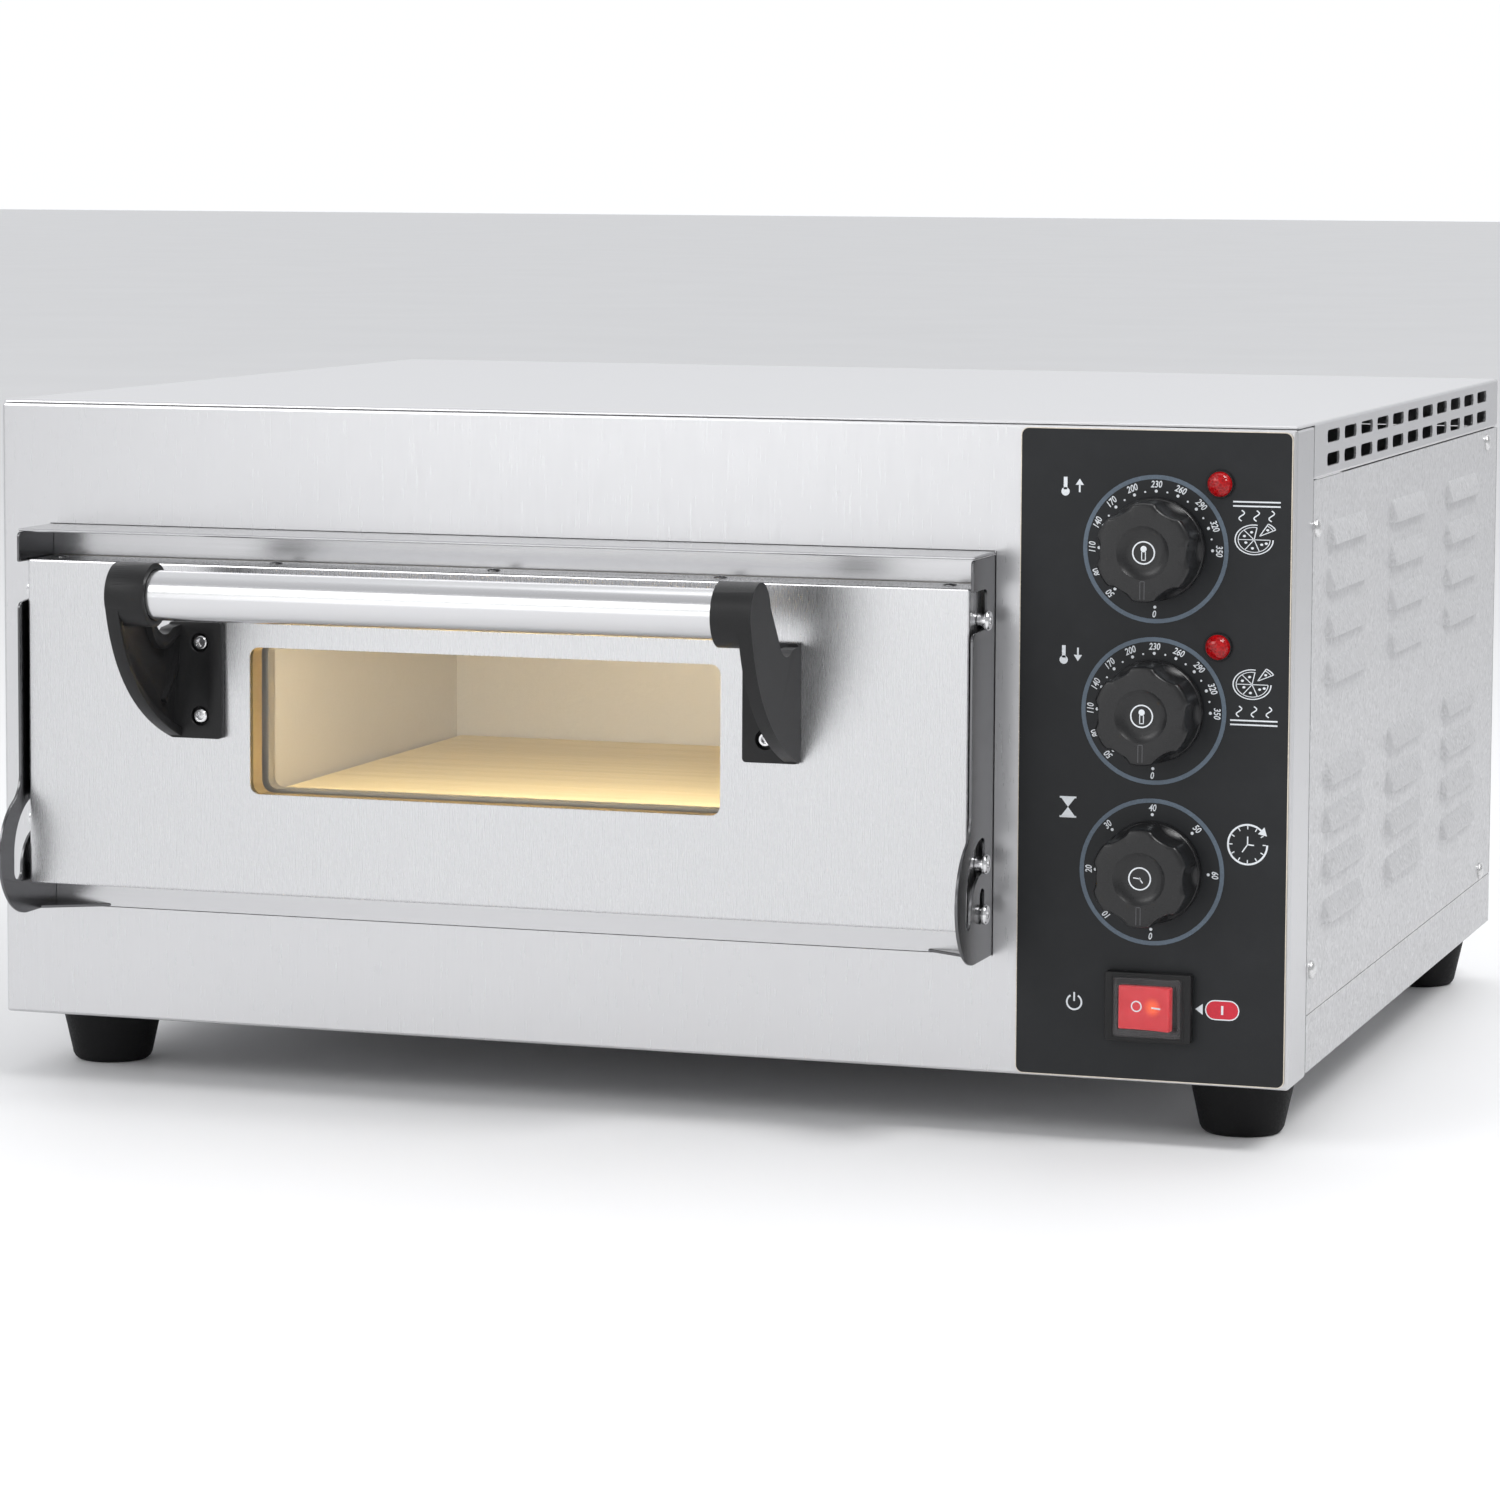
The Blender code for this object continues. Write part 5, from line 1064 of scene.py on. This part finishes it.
def knob(index):
    label = DIALS[index]
    body, place = f"{label}_dial", at(DIAL_X, 0, DIAL_Z[index])
    place.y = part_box(f"{label}_knob")[1].y

    def shape(radius, height, angle):
        if radius < 17.5 or height < 3.5:
            return radius
        return radius - flute_cut(angle, height)

    mesh = lathe(knob_profile(), place, "out", 180, shape)
    piece(f"{label}_knob_body", mesh, knob_black, body, [f"{label}_knob"], 32)
    front = (place.y - FRONT) / MM - KNOB_DEPTH
    middle = (DIAL_X, DIAL_Z[index])
    # The pointer groove's raised edges as thin grey bars: a painted highlight.
    bars = []
    for x in (-0.85, 0.85):
        bars += stroke([(middle[0] + x, middle[1] - 11.2), (middle[0] + x, middle[1] - 18.2)], 0.28)
    bars += stroke([(middle[0] - 0.85, middle[1] - 11.2), (middle[0] + 0.85, middle[1] - 11.2)], 0.28)
    printed(f"{label}_pointer", bars, pointer_highlight, body, front - 0.10, 0.2)
    mark = ring(middle, 4.35, 0.55)
    if index < 2:
        mark += disc((middle[0], middle[1] + 1.5), 1.25) + stroke(
            [(middle[0] - 0.75, middle[1] + 0.4), (middle[0] - 0.75, middle[1] - 2.9)], 0.35
        )
        mark += stroke([(middle[0] + 0.75, middle[1] + 0.4), (middle[0] + 0.75, middle[1] - 2.9)], 0.35)
        mark += stroke([(middle[0] - 0.9, middle[1] - 2.9), (middle[0] + 0.9, middle[1] - 2.9)], 0.35)
    else:
        mark += stroke([(middle[0] - 2.6, middle[1] + 0.3), middle], 0.42)
        mark += stroke([middle, (middle[0] + 1.2, middle[1] - 1.7)], 0.42) + disc(middle, 0.45)
    printed(f"{label}_knob_mark", mark, ink_white, body, front + 1.9 - 0.05, 0.1)


for index in range(3):
    knob(index)

# ---------------------------------------------------------------- lamps and switch


def lamp(index):
    node = f"{DIALS[index]}_lamp"
    place = at(249.6, FILM_FACE - 0.3, DIAL_Z[index] + 26.4)
    turns = [math.radians(a) for a in range(0, 91, 10)]
    dome = [(5.0 * math.sin(t), 0.9 + 3.5 * math.cos(t)) for t in turns]
    dome[0] = (0, 4.4)
    lens = lathe([*dome, (5.0, 0), (4.7, 0), (4.7, -20), (0, -20)], place, "out", 64)
    collar = lathe([(5.05, 1.2), (5.35, 1.2), (5.6, 0.8), (5.6, 0), (5.05, 0), (5.05, 1.2)], place, "out", 64)
    piece(node + "_lens", lens, red_lens, "cabinet", [node], 60)
    piece(node + "_collar", collar, black_moulded, "cabinet")


def switch():
    x, z = DIAL_X, 31.0
    bezel = slab(rounded(x - 17.6, z - 14, x + 17.6, z + 14, 1.2), "XZ", -5.5, 4.4)
    body = block((x - 15, -2, z - 11.5), (x + 15, 24, z + 11.5))
    well = slab(rounded(x - 12.3, z - 9.1, x + 12.3, z + 9.1, 0.8), "XZ", -9, 15)
    housing = combine(combine(eased(bezel, 0.6, 3), [body], "UNION"), [well])
    lip = stroke(rounded(x - 14.6, z - 12.6, x + 14.6, z + 12.6, 1.0), 0.5, True)
    piece("switch_frame", housing, black_moulded, "cabinet", ["switch_housing"])
    printed("switch_lip", lip, black_moulded, face=-5.7, thick=0.4)

    low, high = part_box("switch_rocker")
    half, tall = 10.8, 8.75
    pivot = at(x, -1.5, z)
    tip = Matrix.Translation(pivot) @ Matrix.Rotation(math.radians(-9), 4, "Z") @ Matrix.Translation(-pivot)
    hollow = [(x - half + 2 * half * i / 16, -8.0 + 1.15 * (1 - ((i - 8) / 8) ** 2)) for i in range(17)]
    outline = hollow + [(x + half, -4.0), (x + 0.7 * half, 1.5), (x - 0.7 * half, 1.5), (x - half, -4.0)]
    rocker = eased(slab(outline, "XY", z - tall, 2 * tall), 0.45, 3)
    rocker.transform(tip)
    piece("rocker_cap", rocker, red_rocker, "rocker", ["switch_rocker"])
    symbol = ring((x - 3.4, z + 0.6), 2.0, 0.5) + stroke([(x + 3.0, z + 0.5), (x + 7.0, z + 0.3)], 0.6)
    mark = merged([slab(shape, "XZ", -7.0, 0.2) for shape in symbol])
    for vertex in mark.vertices:
        dish = -8.0 + 1.15 * (1 - ((vertex.co.x / MM - x) / half) ** 2)
        vertex.co.y += (dish + 6.92) * MM
    mark.transform(tip)
    piece("rocker_symbols", mark, ink_white, "rocker")

    outer = slab(rounded(x - 13.9, z - 12.15, x + 13.9, z + 12.15, 1.5), "XZ", -12.2, 6.4)

    def taper(mesh, factor):
        for vertex in mesh.vertices:
            forward = (-(vertex.co.y - FRONT) / MM - 5.8) / 6.4
            scale = 1 - factor * max(0.0, forward)
            vertex.co.x = x * MM + (vertex.co.x - x * MM) * scale
            vertex.co.z = BASE + z * MM + (vertex.co.z - BASE - z * MM) * scale
        return mesh

    shell = eased(taper(outer, 0.13), 0.9, 3)
    inner = taper(slab(rounded(x - 13.0, z - 11.25, x + 13.0, z + 11.25, 1.0), "XZ", -11.3, 6.4), 0.13)
    cap = combine(shell, [inner])
    piece("switch_cap", cap, cap_clear, "cabinet", ["switch_cover"], 30)


lamp(0)
lamp(1)
switch()

# ---------------------------------------------------------------- camera, light and floor


def camera():
    yaw, pitch, roll = 0.3174, 0.0905, 0.0046
    forward = Vector(
        (-math.sin(yaw) * math.cos(pitch), math.cos(yaw) * math.cos(pitch), -math.sin(pitch))
    )
    level = Vector((math.cos(yaw), math.sin(yaw), 0))
    upward = level.cross(forward)
    right = math.cos(roll) * level + math.sin(roll) * upward
    top = -math.sin(roll) * level + math.cos(roll) * upward
    data = bpy.data.cameras.new("camera")
    data.lens = 121.16
    data.sensor_width = 36.0
    data.shift_x = 0.0181
    data.shift_y = -0.0905
    data.clip_start = 0.05
    made = bpy.data.objects.new("camera", data)
    bpy.context.scene.collection.objects.link(made)
    turn = Matrix((right, top, -forward)).transposed().to_4x4()
    made.matrix_world = Matrix.Translation(at(682.5, -1945.3, 367.8)) @ turn
    bpy.context.scene.camera = made


def area(name, place, target, size, power, colour=(1.0, 1.0, 1.0)):
    data = bpy.data.lights.new(name, "AREA")
    data.shape = "RECTANGLE"
    data.size, data.size_y = size
    data.energy = power
    data.color = colour
    made = bpy.data.objects.new(name, data)
    bpy.context.scene.collection.objects.link(made)
    made.visible_camera = False
    aim = (Vector(target) - Vector(place)).to_track_quat("-Z", "Y")
    made.matrix_world = Matrix.Translation(place) @ aim.to_matrix().to_4x4()


def studio():
    world = bpy.data.worlds.new("studio")
    bpy.context.scene.world = world
    world.use_nodes = True
    tree = world.node_tree
    background = tree.nodes["Background"]
    background.inputs["Color"].default_value = (0.97, 0.98, 1.0, 1.0)
    direction = tree.nodes.new("ShaderNodeTexCoord")
    towards = tree.nodes.new("ShaderNodeVectorMath")
    towards.operation = "DOT_PRODUCT"
    towards.inputs[1].default_value = (-0.8, 0.6, 0.0)
    fade = tree.nodes.new("ShaderNodeMapRange")
    fade.inputs["From Min"].default_value = -0.15
    fade.inputs["From Max"].default_value = 0.5
    fade.inputs["To Min"].default_value = 0.55
    fade.inputs["To Max"].default_value = 1.03
    tree.links.new(direction.outputs["Generated"], towards.inputs[0])
    tree.links.new(towards.outputs["Value"], fade.inputs["Value"])
    tree.links.new(fade.outputs["Result"], background.inputs["Strength"])
    area("key_light", (-1.6, -2.6, 1.9), (0, 0, 0.15), (1.8, 1.2), 25)
    area("soft_box", (-0.75, -2.7, 0.45), (0, 0, 0.17), (1.1, 0.8), 4)
    area("right_light", (1.7, -0.8, 2.5), (0.25, 0.2, 0.15), (0.9, 0.9), 46)
    area("top_light", (0.2, 0.6, 2.6), (0, 0, 0.2), (2.0, 2.0), 14)
    inside = at(DOOR_MIDDLE, 90, 181)
    area("chamber_light", inside, at(DOOR_MIDDLE, 300, 88), (0.30, 0.05), 1.15, (1.0, 0.985, 0.93))

    floor_mesh = mesh_of(lambda bm: bmesh.ops.create_grid(bm, x_segments=1, y_segments=1, size=30))
    floor = bpy.data.objects.new("floor", floor_mesh)
    bpy.context.scene.collection.objects.link(floor)
    look = Look("pale_floor", (0.85, 0.85, 0.855), 0.6)
    look.tint(look.noise((3.0, 3.0, 3.0), 2.0), (0.83, 0.83, 0.835))
    floor_mesh.materials.append(look.material)


camera()
studio()
bpy.context.scene.view_settings.view_transform = "Standard"
